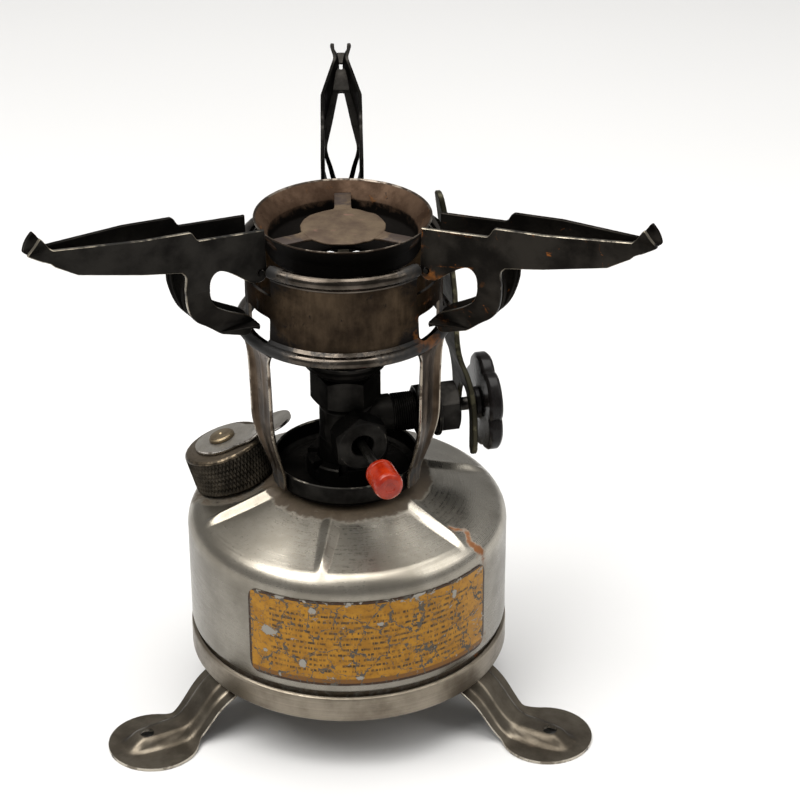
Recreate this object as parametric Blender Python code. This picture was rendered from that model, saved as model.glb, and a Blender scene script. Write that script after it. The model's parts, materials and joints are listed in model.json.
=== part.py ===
"""Single-burner liquid-fuel camp stove: tank, folding feet, burner frame, pot supports.

Metres, +Z up, feet on z = 0, controls to +X.  Dimensions below are millimetres
measured about the stove's vertical axis; put() turns them into metres and moves
that axis to AXIS_Y so that the footprint is centred on the origin.
"""
import math

import bmesh
import bpy
from mathutils import Matrix, Vector
from mathutils.geometry import tessellate_polygon

MM = 0.001
AXIS_Y = -24.93

# ---- driving dimensions (mm, degrees) ---------------------------------------
TANK_R, TANK_WALL = 52.7, 1.0
BAND_R, BAND_Z0, BAND_Z1 = 52.97, 18.5, 27.3
SHOULDER_Z, DOME_Z = 64.6, 80.0
RIB_ANGLES = [19.5 + 60 * k for k in range(6)]
RIB_H, RIB_HALF = 1.5, 3.0
LABEL_A0, LABEL_A1, LABEL_Z0, LABEL_Z1 = 233.0, 326.0, 32.8, 64.4

ARM_ANGLES = {"back": 90.0, "left": 210.0, "right": 330.0}
HINGE_R, HINGE_Z = 33.0, 164.6
PLATE_S, PLATE_T = 6.3, 1.2

FRAME_R, FRAME_WALL = 31.2, 1.0
FRAME_Z0, FRAME_Z1 = 136.4, 166.6
SLOT_HALF, SLOT_Z = 7.6, 156.0
WIN_HALF, WIN_Z0, WIN_Z1 = 7.1, 139.2, 148.4

CUP_R, CUP_Z0, CUP_Z1 = 24.1, 81.6, 89.0
COLUMN_R, COLUMN_Z0, COLUMN_Z1 = 8.6, 68.0, 107.6
HEX_AF, HEX_Z0, HEX_Z1 = 19.8, 108.6, 119.4
DISH_Z0, DISH_Z1, DISH_R = 119.8, 126.2, 14.8
BOWL_R, BOWL_Z, BOWL_FLOOR = 28.0, 173.7, 157.6
TUBE_RIM = 150.0
DISC_R, DISC_Z = 13.4, 169.8

VALVE_AZ, VALVE_Z = 12.5, 101.2
LEVER_AZ, LEVER_Z = -73.0, 100.5
PUMP_AZ, PUMP_R, PUMP_Z, PUMP_TILT = 168.0, 37.2, 75.3, 17.7
CAP_R, CAP_H = 13.8, 13.6

FOOT_PIVOT = (37.0, 0.0)
FOOT_DISC = (74.7, 0.0)
FOOT_DISC_R, FOOT_T = 15.1, 1.1
FOOT_HOLE = (76.6, -1.2)


# ---- helpers ------------------------------------------------------------------
def rad(deg):
    return math.radians(deg)


def material(name, colour, metallic, rough):
    mat = bpy.data.materials.new(name)
    mat.use_nodes = True
    bsdf = mat.node_tree.nodes["Principled BSDF"]
    bsdf.inputs["Base Color"].default_value = (*colour, 1.0)
    bsdf.inputs["Metallic"].default_value = metallic
    bsdf.inputs["Roughness"].default_value = rough
    mat.diffuse_color = (*colour, 1.0)
    return mat


STEEL = ((0.46, 0.44, 0.40), 1.0, 0.32)
DARK = ((0.045, 0.042, 0.038), 0.9, 0.5)
BROWN = ((0.20, 0.15, 0.11), 0.9, 0.45)
TAN = ((0.33, 0.26, 0.20), 0.7, 0.6)
BLACK = ((0.03, 0.03, 0.03), 0.8, 0.5)
OLIVE = ((0.16, 0.15, 0.09), 0.6, 0.5)


def put(name, verts, faces, look, origin=(0.0, 0.0, 0.0)):
    """Make one closed object; verts and origin are mm about the stove's axis."""
    o = Vector(origin)
    mesh = bpy.data.meshes.new(name)
    mesh.from_pydata([(Vector(v) - o) * MM for v in verts], [], faces)
    obj = bpy.data.objects.new(name, mesh)
    bpy.context.collection.objects.link(obj)
    obj.location = (o + Vector((0.0, AXIS_Y, 0.0))) * MM
    mesh.materials.append(material(name + "_finish", *look))
    bm = bmesh.new()
    bm.from_mesh(mesh)
    bmesh.ops.recalc_face_normals(bm, faces=bm.faces)
    bm.to_mesh(mesh)
    bm.free()
    return obj


def loft(rings, closed):
    """Join equal-length rings of points; open lofts get a face on each end."""
    n = len(rings[0])
    verts = [p for ring in rings for p in ring]
    pairs = range(len(rings) if closed else len(rings) - 1)
    faces = []
    for i in pairs:
        a, b = i * n, ((i + 1) % len(rings)) * n
        faces += [(a + k, a + (k + 1) % n, b + (k + 1) % n, b + k) for k in range(n)]
    if not closed:
        faces += [tuple(range(n)), tuple(range((len(rings) - 1) * n, len(rings) * n))]
    return verts, faces


def lathe(profile, segs, tf=None, radial=None, angles=None):
    """Revolve a closed (r, z) loop; points on the axis become single poles.

    radial(r, z, angle) may return a changed (r, z) for a point off the axis, and
    angles may list uneven directions in degrees.
    """
    verts, rows = [], []
    angles = angles or [360.0 * k / segs for k in range(segs)]
    segs = len(angles)
    for r, z in profile:
        if r < 1e-6:
            rows.append([len(verts)] * segs)
            verts.append(Vector((0.0, 0.0, z)))
            continue
        rows.append(list(range(len(verts), len(verts) + segs)))
        for k in range(segs):
            a = rad(angles[k])
            rr, zz = radial(r, z, a) if radial else (r, z)
            verts.append(Vector((rr * math.cos(a), rr * math.sin(a), zz)))
    faces = []
    for i, row in enumerate(rows):
        nxt = rows[(i + 1) % len(rows)]
        for k in range(segs):
            j = (k + 1) % segs
            loop = [row[k], row[j], nxt[j], nxt[k]]
            face = [v for m, v in enumerate(loop) if v not in loop[:m]]
            if len(face) > 2:
                faces.append(tuple(face))
    if tf:
        verts = [tf @ v for v in verts]
    return verts, faces


def slab(loops, place):
    """Solid between two copies of a flat outline (first loop) with holes (other loops).

    place(u, v, side) gives the point for outline point (u, v) on side 0 or 1.
    """
    pts = [p for loop in loops for p in loop]
    tris = tessellate_polygon([[Vector((u, v, 0.0)) for u, v in loop] for loop in loops])
    n = len(pts)
    verts = [place(u, v, 0) for u, v in pts] + [place(u, v, 1) for u, v in pts]
    faces = [tuple(t) for t in tris] + [tuple(n + i for i in reversed(t)) for t in tris]
    start = 0
    for loop in loops:
        m = len(loop)
        for k in range(m):
            a, b = start + k, start + (k + 1) % m
            faces.append((a, b, n + b, n + a))
        start += m
    return verts, faces


def circle(cu, cv, r, n, start=0.0):
    return [(cu + r * math.cos(start + 2 * math.pi * k / n),
             cv + r * math.sin(start + 2 * math.pi * k / n)) for k in range(n)]


def combine(base, others, operation):
    """Fold other objects into base with an exact boolean, then drop them."""
    for other in others:
        other.hide_render = True
        other.display_type = "WIRE"
        mod = base.modifiers.new("combine", "BOOLEAN")
        mod.operation = operation
        mod.solver = "EXACT"
        mod.object = other
        mesh = bpy.data.meshes.new_from_object(
            base.evaluated_get(bpy.context.evaluated_depsgraph_get()))
        base.modifiers.clear()
        base.data = mesh
        bpy.data.objects.remove(other)
    bm = bmesh.new()
    bm.from_mesh(base.data)
    bmesh.ops.remove_doubles(bm, verts=bm.verts, dist=2e-6)
    bmesh.ops.dissolve_degenerate(bm, edges=bm.edges, dist=2e-6)
    bmesh.ops.recalc_face_normals(bm, faces=bm.faces)
    bm.to_mesh(base.data)
    bm.free()
    mat = base.data.materials[0]
    base.data.materials.clear()
    base.data.materials.append(mat)
    return base


def axis_frame(azimuth, z, x=0.0, y=0.0):
    """Frame whose local +Z points horizontally outwards along an azimuth."""
    out = Vector((math.cos(rad(azimuth)), math.sin(rad(azimuth)), 0.0))
    up = Vector((0.0, 0.0, 1.0))
    side = up.cross(out)
    m = Matrix((side, up, out)).transposed().to_4x4()
    m.translation = (x, y, z)
    return m


def pump_frame():
    """Frame on the pump's tilted axis, local z = 0 at the bottom of its cap."""
    az, t = rad(PUMP_AZ), rad(PUMP_TILT)
    out = Vector((math.cos(az), math.sin(az), 0.0))
    axis = math.sin(t) * out + math.cos(t) * Vector((0.0, 0.0, 1.0))
    inward = (-math.cos(t) * out + math.sin(t) * Vector((0.0, 0.0, 1.0)))
    side = axis.cross(inward)
    m = Matrix((inward, side, axis)).transposed().to_4x4()
    m.translation = PUMP_R * out + Vector((0.0, 0.0, PUMP_Z))
    return m


def block(name, x0, x1, y0, y1, z0, z1, tf):
    corners = [tf @ Vector((x, y, z)) for z in (z0, z1)
               for x, y in ((x0, y0), (x1, y0), (x1, y1), (x0, y1))]
    return put(name, *loft([corners[:4], corners[4:]], closed=False), STEEL)


def rod_cutter(name, radius, z0, z1, tf, segs=24):
    profile = [(0.0, z0), (radius, z0), (radius, z1), (0.0, z1)]
    return put(name, *lathe(profile, segs, tf), STEEL)


def hexed(across, z0, z1, bore, chamfer, tf, turn=0.0, recess=None, segs=24):
    """Hexagon nut with chamfered rims, a bore and an optional (radius, depth) recess."""
    rc = across / 2 - 0.35
    steps = [360.0 * k / segs for k in range(segs)]
    flat = [across / 2 / math.cos(rad((w + 30.0) % 60.0 - 30.0)) for w in steps]

    def ring(radii, heights):
        return [Vector((r * math.cos(rad(w + turn)), r * math.sin(rad(w + turn)), z))
                for w, r, z in zip(steps, radii, heights)]

    def level(r, z):
        return ring([r] * segs, [z] * segs)

    rise = [(f - rc) * chamfer for f in flat]
    rings = [level(rc, z0), ring(flat, [z0 + h for h in rise]),
             ring(flat, [z1 - h for h in rise]), level(rc, z1)]
    if recess:
        rings += [level(recess[0], z1), level(recess[0], z1 - recess[1]),
                  level(bore, z1 - recess[1])]
    else:
        rings.append(level(bore, z1))
    rings.append(level(bore, z0))
    verts, faces = loft(rings, closed=True)
    return [tf @ v for v in verts], faces


# ---- tank ---------------------------------------------------------------------
def dome_profile():
    """Outer (r, z) points from the top of the wall over the shoulder to the centre."""
    cr, cz, rr = TANK_R - 8.0, SHOULDER_Z, 8.0
    pts = [(TANK_R, SHOULDER_Z)]
    pts += [(cr + rr * math.cos(rad(a)), cz + rr * math.sin(rad(a))) for a in (18, 36, 54, 70)]
    pts += [(43.0, 73.4), (36.0, 75.6), (30.0, 77.6), (25.0, 79.3), (21.0, DOME_Z)]
    return pts


def rib_lift(r, z, a):
    """Raise the dome along the pressed ribs."""
    if not 21.5 < r < 51.0 or z < SHOULDER_Z:
        return r, z
    ends = min(1.0, (r - 21.5) / 4.0, (51.0 - r) / 6.0)
    for deg in RIB_ANGLES:
        d = (math.degrees(a) - deg + 180.0) % 360.0 - 180.0
        s = abs(r * rad(d))
        if s < RIB_HALF:
            lift = RIB_H * ends * (0.5 + 0.5 * math.cos(math.pi * s / RIB_HALF))
            return r, z + lift
    return r, z


def build_tank():
    outer = [(50.9, 19.9), (50.9, 29.6), (TANK_R, 30.3)] + dome_profile() + [(10.4, DOME_Z)]
    inner = [(10.4, DOME_Z - 1.0), (21.0, DOME_Z - 1.0), (43.0, 72.0), (49.4, 69.4),
             (TANK_R - TANK_WALL, SHOULDER_Z - 0.5), (TANK_R - TANK_WALL, 31.0),
             (49.9, 30.0), (49.9, 19.9)]
    steps = [rib + d for rib in RIB_ANGLES
             for d in (-4.8, -2.4, 0.0, 2.4, 4.8, 12.8, 21.4, 30.0, 38.6, 47.2)]
    shell = put("tank_shell", *lathe(outer + inner, 60, radial=rib_lift, angles=steps), STEEL)
    combine(shell, [rod_cutter("cut_neck", 10.6, -9.0, 12.0, pump_frame(), 32)], "DIFFERENCE")

    pan = [(0.0, 19.5), (51.2, 19.5), (51.2, 27.5), (51.9, 27.9), (BAND_R, BAND_Z1),
           (BAND_R, BAND_Z0 + 0.5), (52.4, BAND_Z0), (0.0, BAND_Z0)]
    put("tank_base", *lathe(pan, 54), STEEL)

    n, r0, r1, c = 24, TANK_R + 0.08, TANK_R + 0.32, 2.5
    rings = []
    for k in range(n + 1):
        a = rad(LABEL_A0 + (LABEL_A1 - LABEL_A0) * k / n)
        end = min(k, n - k) * (LABEL_A1 - LABEL_A0) / n * TANK_R * rad(1)
        drop = c - math.sqrt(max(0.0, c * c - max(0.0, c - end) ** 2))
        rings.append([Vector((r * math.cos(a), r * math.sin(a), z)) for r, z in
                      ((r0, LABEL_Z0 + drop), (r1, LABEL_Z0 + drop),
                       (r1, LABEL_Z1 - drop), (r0, LABEL_Z1 - drop))])
    put("label_plate", *loft(rings, closed=False), ((0.62, 0.36, 0.08), 0.0, 0.45))
    pickup = [(1.4, 24.0), (2.4, 24.0), (2.4, 30.0), (1.9, 30.6), (1.9, 67.6), (1.4, 67.6)]
    put("pickup_tube", *lathe(pickup, 12), ((0.55, 0.42, 0.16), 1.0, 0.35))


# ---- feet ---------------------------------------------------------------------
def foot_local(point):
    """Foot coordinates (along, across) of a point given as (radius, offset)."""
    dx, dy = FOOT_HOLE[0] - FOOT_PIVOT[0], FOOT_HOLE[1] - FOOT_PIVOT[1]
    n = math.hypot(dx, dy)
    ux, uy = dx / n, dy / n
    px, py = point[0] - FOOT_PIVOT[0], point[1] - FOOT_PIVOT[1]
    return px * ux + py * uy, -px * uy + py * ux


def foot_base(t):
    """Height of the strap's upper face along the foot."""
    knots = [(-20.0, 17.6), (7.0, 17.6), (13.5, 14.6), (17.5, 11.6), (24.0, 3.6), (27.5, FOOT_T)]
    for (t0, z0), (t1, z1) in zip(knots, knots[1:]):
        if t <= t1:
            return z0 + (z1 - z0) * (t - t0) / (t1 - t0)
    return FOOT_T


def foot_edges(t, disc):
    """Half-plane limits of the foot outline at distance t."""
    strap = 7.2 + 2.6 * min(1.0, max(0.0, t / 12.0)) - 0.8 * min(1.0, max(0.0, (t - 14.0) / 14.0))
    lo, hi = -strap, strap
    if t < 0.0:
        w = math.sqrt(max(0.0, 7.2 ** 2 - t * t))
        lo, hi = -w, w
    dt = t - disc[0]
    w = math.sqrt(max(0.0, FOOT_DISC_R ** 2 - dt * dt))
    if w > 0.0 or dt > 0.0:
        if dt > -4.0:
            lo, hi = disc[1] - w, disc[1] + w
        else:
            lo, hi = min(lo, disc[1] - w), max(hi, disc[1] + w)
    return lo, hi


def foot_ridge(t, s):
    """Height of the pressed rib down the middle of the foot."""
    ends = min(1.0, max(0.0, (t - 8.0) / 6.0), max(0.0, (47.5 - t) / 5.0))
    side = min(1.0, max(0.0, (6.2 - abs(s)) / 2.4))
    return 3.2 * ends * side


def build_foot(place):
    a = rad(ARM_ANGLES[place])
    disc = foot_local(FOOT_DISC)
    lean = math.atan2(FOOT_HOLE[1] - FOOT_PIVOT[1], FOOT_HOLE[0] - FOOT_PIVOT[0])
    turn = Matrix.Rotation(a + lean, 4, "Z")
    pivot = Matrix.Rotation(a, 4, "Z") @ Vector((*FOOT_PIVOT, 0.0))
    far = disc[0] + FOOT_DISC_R
    ts = [-7.1, -5.0, 0.0, 4.0, 8.0, 13.5, 17.5, 22.0, 25.0, 28.5, 33.0, 42.5, 47.5,
          far - 1.5, far - 0.1]
    rings = []
    for t in ts:
        lo, hi = foot_edges(t, disc)
        fit = min(1.0, 0.9 * min(-lo, hi) / 6.2)
        row = [(t, s, foot_base(t) + foot_ridge(t, s))
               for s in (lo, -6.2 * fit, -3.8 * fit, 3.8 * fit, 6.2 * fit, hi)]
        rings.append([pivot + turn @ Vector(p) for p in row]
                     + [pivot + turn @ Vector((p[0], p[1], p[2] - FOOT_T)) for p in reversed(row)])
    foot = put("foot_" + place, *loft(rings, closed=False), STEEL, origin=pivot)
    at = Matrix.Translation(pivot)
    hole = Matrix.Translation(Matrix.Rotation(a, 4, "Z") @ Vector((*FOOT_HOLE, 0.0)))
    combine(foot, [rod_cutter("cut_pivot", 2.9, 5.0, 25.0, at),
                   rod_cutter("cut_hole", 2.3, -5.0, 9.0, hole)], "DIFFERENCE")
    rivet = [(0.0, 18.3), (2.5, 18.3), (2.5, 16.1), (4.6, 16.1), (4.3, 15.0), (2.8, 14.3),
             (0.0, 14.1)]
    put("foot_rivet_" + place, *lathe(rivet, 14, at), STEEL)


# ---- pump ---------------------------------------------------------------------
def build_pump():
    tf = pump_frame()
    origin = tf.translation
    neck = [(9.4, -3.0), (10.3, -3.0), (10.3, 0.4), (11.6, 1.0), (11.6, 8.0), (9.4, 8.0)]
    put("filler_neck", *lathe(neck, 20, tf), STEEL)
    barrel = [(6.4, -44.0), (7.4, -44.0), (7.4, 8.4), (10.9, 8.4), (10.9, 9.2), (6.4, 9.2)]
    put("pump_barrel", *lathe(barrel, 18, tf), ((0.55, 0.42, 0.16), 1.0, 0.35))
    foot = [(1.2, -46.6), (5.0, -46.6), (7.4, -45.6), (7.4, -44.3), (1.2, -44.3)]
    put("check_valve", *lathe(foot, 16, tf), ((0.55, 0.42, 0.16), 1.0, 0.35))
    gasket = [(7.9, 9.5), (11.6, 9.5), (11.6, 10.9), (7.9, 10.9)]
    put("cap_gasket", *lathe(gasket, 18, tf), ((0.05, 0.05, 0.05), 0.0, 0.8), origin)

    cap = [(12.1, 0.2), (13.5, 0.2), (CAP_R, 0.6), (CAP_R, CAP_H - 0.6), (CAP_R - 0.7, CAP_H),
           (2.2, CAP_H), (2.2, 11.3), (12.1, 11.3)]
    put("pump_cap", *lathe(cap, 36, tf), ((0.10, 0.08, 0.06), 0.9, 0.45), origin)

    rod = [(0.0, -12.0), (1.6, -12.0), (1.6, CAP_H + 0.1), (0.0, CAP_H + 0.1)]
    put("pump_rod", *lathe(rod, 14, tf), STEEL, origin)
    leather = [(0.0, -15.6), (3.0, -15.6), (3.4, -14.4), (5.6, -16.0), (6.1, -15.8),
               (5.9, -12.3), (0.0, -12.3)]
    put("pump_leather", *lathe(leather, 16, tf), ((0.22, 0.13, 0.07), 0.0, 0.8), origin)
    build_grip(tf, origin)


def build_grip(tf, origin):
    """Keyhole plate on top of the pump rod with an upturned round tab."""
    outline = circle(0.0, 0.0, 9.4, 28, rad(40.0))
    outline = [p for p in outline if not (p[0] > 6.2 and abs(p[1]) < 7.0)]
    ang = sorted(outline, key=lambda p: math.atan2(p[1], p[0]) % (2 * math.pi))
    tab = [(16.6, -4.2), (18.0, -5.6), (20.2, -6.6), (22.6, -6.2), (24.4, -4.2), (25.1, 0.0),
           (24.4, 4.2), (22.6, 6.2), (20.2, 6.6), (18.0, 5.6), (16.6, 4.2)]
    outline = ang + [(11.0, -4.6), (15.4, -3.6), (15.4, 3.6), (11.0, 4.6)]
    z0 = CAP_H + 0.35

    def flat(u, v, side):
        return tf @ Vector((u, v, z0 + 1.1 * side))

    def lifted(u, v, side):
        return tf @ Vector((u, v, z0 + 0.1 + 0.9 * side + 0.16 * (u - 14.4) ** 1.1))
    plate = put("pump_grip", *slab([outline, circle(0.0, 0.0, 1.9, 16)], flat), STEEL, origin)
    ear = put("ear_stub", *slab([[(14.4, -3.5)] + tab + [(14.4, 3.5)]], lifted), STEEL, origin)
    combine(plate, [ear], "UNION")
    rivet = [(0.0, z0 - 0.2), (1.6, z0 - 0.2), (1.6, z0 + 1.3), (4.3, z0 + 1.3), (4.3, z0 + 2.2),
             (3.8, z0 + 2.6), (0.5, z0 + 2.6), (0.0, z0 + 2.3)]
    put("grip_rivet", *lathe(rivet, 20, tf), TAN, origin)


# ---- burner column, valve and cleaner ------------------------------------------
def thread(r, z0, z1, pitch, depth):
    pts, z = [], z0
    while z + pitch <= z1 + 1e-6:
        pts += [(r - depth, z), (r, z + pitch * 0.5)]
        z += pitch
    return pts + [(r - depth, z1)]


def build_column():
    cup = [(9.4, CUP_Z0), (21.5, CUP_Z0), (23.4, CUP_Z0 + 0.5), (CUP_R, CUP_Z0 + 1.6),
           (CUP_R, CUP_Z1 - 0.3), (CUP_R - 0.4, CUP_Z1), (CUP_R - 0.9, CUP_Z1 - 0.4),
           (CUP_R - 0.9, CUP_Z0 + 2.0), (22.4, CUP_Z0 + 1.2), (21.2, CUP_Z0 + 0.9),
           (9.4, CUP_Z0 + 0.9)]
    put("primer_cup", *lathe(cup, 32), BLACK)
    washer = [(9.4, DOME_Z + 0.3), (15.0, DOME_Z + 0.3), (15.0, CUP_Z0 - 0.3),
              (9.4, CUP_Z0 - 0.3)]
    put("cup_washer", *lathe(washer, 20), BLACK)

    def castle(r, z, a):
        notch = (math.degrees(a) + 15.0) % 60.0 < 15.0
        return (r, 86.2) if notch and z > 88.0 else (r, z)
    nut = [(9.2, 82.8), (13.0, 82.8), (13.0, 88.8), (9.2, 88.8)]
    put("ring_nut", *lathe(nut, 48, radial=castle), BLACK)

    body = [(2.5, COLUMN_Z0), (6.6, COLUMN_Z0), (6.6, 78.0), (COLUMN_R + 0.2, 78.6),
            (COLUMN_R + 0.2, 96.0), (COLUMN_R, 96.4), (COLUMN_R, 106.6),
            (COLUMN_R - 1.0, COLUMN_Z1), (2.5, COLUMN_Z1)]
    riser = put("riser_body", *lathe(body, 24), BLACK)
    vf, lf = axis_frame(VALVE_AZ, VALVE_Z), axis_frame(LEVER_AZ, LEVER_Z)
    barrel = [(0.0, 5.0), (6.4, 5.0), (6.4, 14.6)] + thread(6.3, 15.4, 22.6, 1.8, 0.45)
    barrel += [(0.0, 22.6)]
    stub = put("barrel_stub", *lathe(barrel, 20, vf), BLACK)
    boss = put("boss_stub", *lathe([(0.0, 4.5), (6.6, 4.5), (6.6, 10.2), (0.0, 10.2)], 20, lf), BLACK)
    combine(riser, [stub, boss], "UNION")
    combine(riser, [rod_cutter("cut_valve", 2.9, 3.6, 30.0, vf),
                    rod_cutter("cut_lever", 2.9, 0.4, 30.0, lf)], "DIFFERENCE")
    build_valve(vf)
    build_cleaner(lf)


def build_valve(vf):
    origin = vf.translation
    put("valve_gland_nut", *hexed(16.0, 22.9, 36.9, 2.9, 0.58, vf), BLACK)
    stem = [(0.0, 5.0), (1.2, 7.0), (2.2, 7.6), (2.2, 42.4), (1.8, 42.6), (1.8, 49.1), (0.0, 49.1)]
    put("valve_stem", *lathe(stem, 14, vf), STEEL, origin)

    def lobes(r, z, a):
        if r < 10.0:
            return r, z
        return r - 2.4 * (1.0 - abs(math.cos(2.5 * a))) ** 1.5, z
    knob = [(2.1, 42.8), (5.2, 42.8), (5.2, 44.4), (15.4, 44.4), (16.4, 45.3), (16.4, 48.1),
            (15.4, 49.0), (2.1, 49.0)]
    put("control_knob", *lathe(knob, 50, vf, radial=lobes), ((0.02, 0.02, 0.02), 0.0, 0.15), origin)
    screw = [(0.0, 49.4), (3.6, 49.4), (3.3, 50.8), (1.8, 51.4), (0.0, 51.5)]
    put("knob_screw", *lathe(screw, 16, vf), STEEL, origin)


def build_cleaner(lf):
    nut = hexed(16.8, 10.5, 18.2, 3.0, 0.58, lf, turn=5.0, recess=(4.5, 4.8))
    put("cleaner_gland_nut", *nut, BLACK)
    pivot = lf @ Vector((0.0, 0.0, 12.0))
    rod = [(0.0, 2.2), (1.1, 2.5), (1.4, 3.0), (1.4, 36.4), (0.0, 36.4)]
    put("cleaner_lever", *lathe(rod, 12, lf), STEEL, pivot)
    cap = [(1.55, 35.2), (1.55, 36.6), (0.0, 36.6), (0.0, 46.0), (3.4, 46.0), (4.4, 45.3),
           (4.65, 44.2), (4.65, 35.6), (4.3, 35.2)]
    put("lever_cap", *lathe(cap, 24, lf), ((0.80, 0.10, 0.03), 0.0, 0.25), pivot)
    needle = [(0.0, 84.0), (1.6, 84.0), (1.6, 97.6), (0.8, 98.0), (0.8, 124.6), (0.3, 125.0),
              (0.3, 126.6), (0.0, 126.8)]
    put("cleaning_needle", *lathe(needle, 8), STEEL)


# ---- burner -------------------------------------------------------------------
def build_burner():
    up = Matrix.Identity(4)
    put("burner_hex_nut", *hexed(HEX_AF, HEX_Z0, HEX_Z1, 3.2, 0.5, up, turn=30.0), BLACK)
    dish = [(3.6, DISH_Z0), (10.6, DISH_Z0), (12.2, DISH_Z0 + 1.6), (DISH_R, DISH_Z1 - 0.6),
            (DISH_R, DISH_Z1), (13.4, DISH_Z1), (11.4, DISH_Z0 + 2.0), (10.0, DISH_Z0 + 1.0),
            (3.6, DISH_Z0 + 1.0)]
    put("base_dish", *lathe(dish, 30), BLACK)
    jet = [(1.2, 119.7), (3.2, 119.7), (3.2, 124.4), (2.2, 126.4), (1.2, 126.4)]
    put("jet_nipple", *lathe(jet, 12), ((0.55, 0.42, 0.16), 1.0, 0.35))
    def posts(r, z, a):
        """Cut the tube's rim down except at the three posts that carry the bowl."""
        if z < TUBE_RIM or (math.degrees(a) + 105.0) % 120.0 < 30.0:
            return r, z
        return r, TUBE_RIM
    tube_wall = [(6.0, 121.2), (9.2, 121.2), (9.2, 122.4), (7.6, 124.0), (7.0, 136.0),
                 (8.2, 147.0), (8.8, BOWL_FLOOR - 0.4), (8.0, BOWL_FLOOR - 0.4), (7.4, 147.0),
                 (6.0, 136.0)]
    put("mixing_tube", *lathe(tube_wall, 24, radial=posts), DARK)

    bowl = [(8.2, BOWL_FLOOR), (16.6, BOWL_FLOOR), (18.4, 158.5), (24.0, 162.6), (24.5, 164.0),
            (24.6, 167.4), (25.2, 169.0), (27.6, 173.0), (BOWL_R, 173.4), (27.8, BOWL_Z),
            (27.1, 173.4), (24.2, 169.4), (23.5, 168.0), (23.3, 164.0), (17.4, 159.6),
            (16.0, 158.7), (8.2, 158.7)]
    put("burner_bowl", *lathe(bowl, 32), TAN)
    build_spreader()


def build_spreader():
    plate = [(0.0, DISC_Z - 1.2), (11.8, DISC_Z - 1.4), (12.7, DISC_Z - 1.2), (DISC_R, DISC_Z - 0.5),
             (12.4, DISC_Z - 0.1), (10.6, DISC_Z + 0.15), (0.0, DISC_Z + 0.5)]
    disc = put("flame_spreader", *lathe(plate, 30), TAN)
    legs = []
    for angle in ARM_ANGLES.values():
        a = Matrix.Rotation(rad(angle), 4, "Z")
        path = [(10.0, 169.1), (13.8, 169.1), (17.0, 168.6), (20.0, 168.8), (21.8, 169.9),
                (23.2, 171.6)]
        rings = [[a @ Vector((r, s, z + dz)) for s, dz in
                  ((-2.6, -0.45), (2.6, -0.45), (2.6, 0.45), (-2.6, 0.45))] for r, z in path]
        legs.append(put("leg_stub", *loft(rings, closed=False), TAN))
    combine(disc, legs, "UNION")


def build_frame():
    inner = FRAME_R - FRAME_WALL
    wall = [(inner, FRAME_Z0), (inner, 162.6), (29.4, 163.4), (29.1, 164.6), (29.7, 166.0),
            (31.1, FRAME_Z1), (32.5, 166.0), (33.1, 164.6), (32.5, 163.2), (FRAME_R, 162.0),
            (FRAME_R, 140.5), (32.9, 140.4), (34.2, 139.8), (34.7, 138.6), (34.2, 137.4),
            (32.9, 136.8), (31.4, FRAME_Z0)]
    frame = put("burner_frame", *lathe(wall, 48), BROWN)
    cutters = []
    for angle in ARM_ANGLES.values():
        a = Matrix.Rotation(rad(angle), 4, "Z")
        cutters.append(block("cut_slot", 20.0, 40.0, -SLOT_HALF, SLOT_HALF, SLOT_Z, 170.0, a))
        cutters.append(block("cut_window", 20.0, 32.3, -WIN_HALF, WIN_HALF, WIN_Z0, WIN_Z1, a))
    combine(frame, cutters, "DIFFERENCE")
    for place, angle in ARM_ANGLES.items():
        build_leg(place, Matrix.Rotation(rad(angle), 4, "Z"))


def build_leg(place, a):
    """Pressed strip with outward flanges, from the frame's lower bead to the cup."""
    path = [(31.4, 135.8, 8.6, 0.4), (30.4, 133.0, 6.9, 1.4), (29.7, 128.0, 6.4, 1.9),
            (29.3, 118.0, 6.3, 2.0), (29.1, 109.5, 6.3, 2.0), (28.5, 104.5, 6.0, 1.9),
            (27.5, 99.5, 5.4, 1.6), (26.1, 94.0, 4.7, 1.2), (25.2, 90.0, 4.2, 0.8),
            (24.95, 87.0, 3.9, 0.5), (24.9, 83.6, 3.6, 0.3)]
    rings = []
    for i, (r, z, half, lip) in enumerate(path):
        r0, z0 = path[max(i - 1, 0)][:2]
        r1, z1 = path[min(i + 1, len(path) - 1)][:2]
        n = math.hypot(r1 - r0, z1 - z0)
        nr, nz = -(z1 - z0) / n, (r1 - r0) / n
        sec = [(-half, lip), (-half + 1.9, 0.5), (half - 1.9, 0.5), (half, lip),
               (half + 0.2, lip - 0.9), (half - 1.5, -0.5), (-half + 1.5, -0.5),
               (-half - 0.2, lip - 0.9)]
        rings.append([a @ Vector((r + nr * d, s, z + nz * d)) for s, d in sec])
    put("frame_leg_" + place, *loft(rings, closed=False), BROWN)


# ---- pot supports ---------------------------------------------------------------
def plate_offset(r, z):
    """Distance of a side plate's middle from the arm's centre plane."""
    if r > 72.0:
        s = PLATE_S - 3.9 * min(1.0, (r - 72.0) / 26.5)
        return s + max(0.0, r - 98.5) * 0.12
    if z < 163.0 and r > 34.0:
        return 2.5 + (PLATE_S - 2.5) * max(0.0, (z - 148.0) / 15.0)
    return PLATE_S


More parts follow.
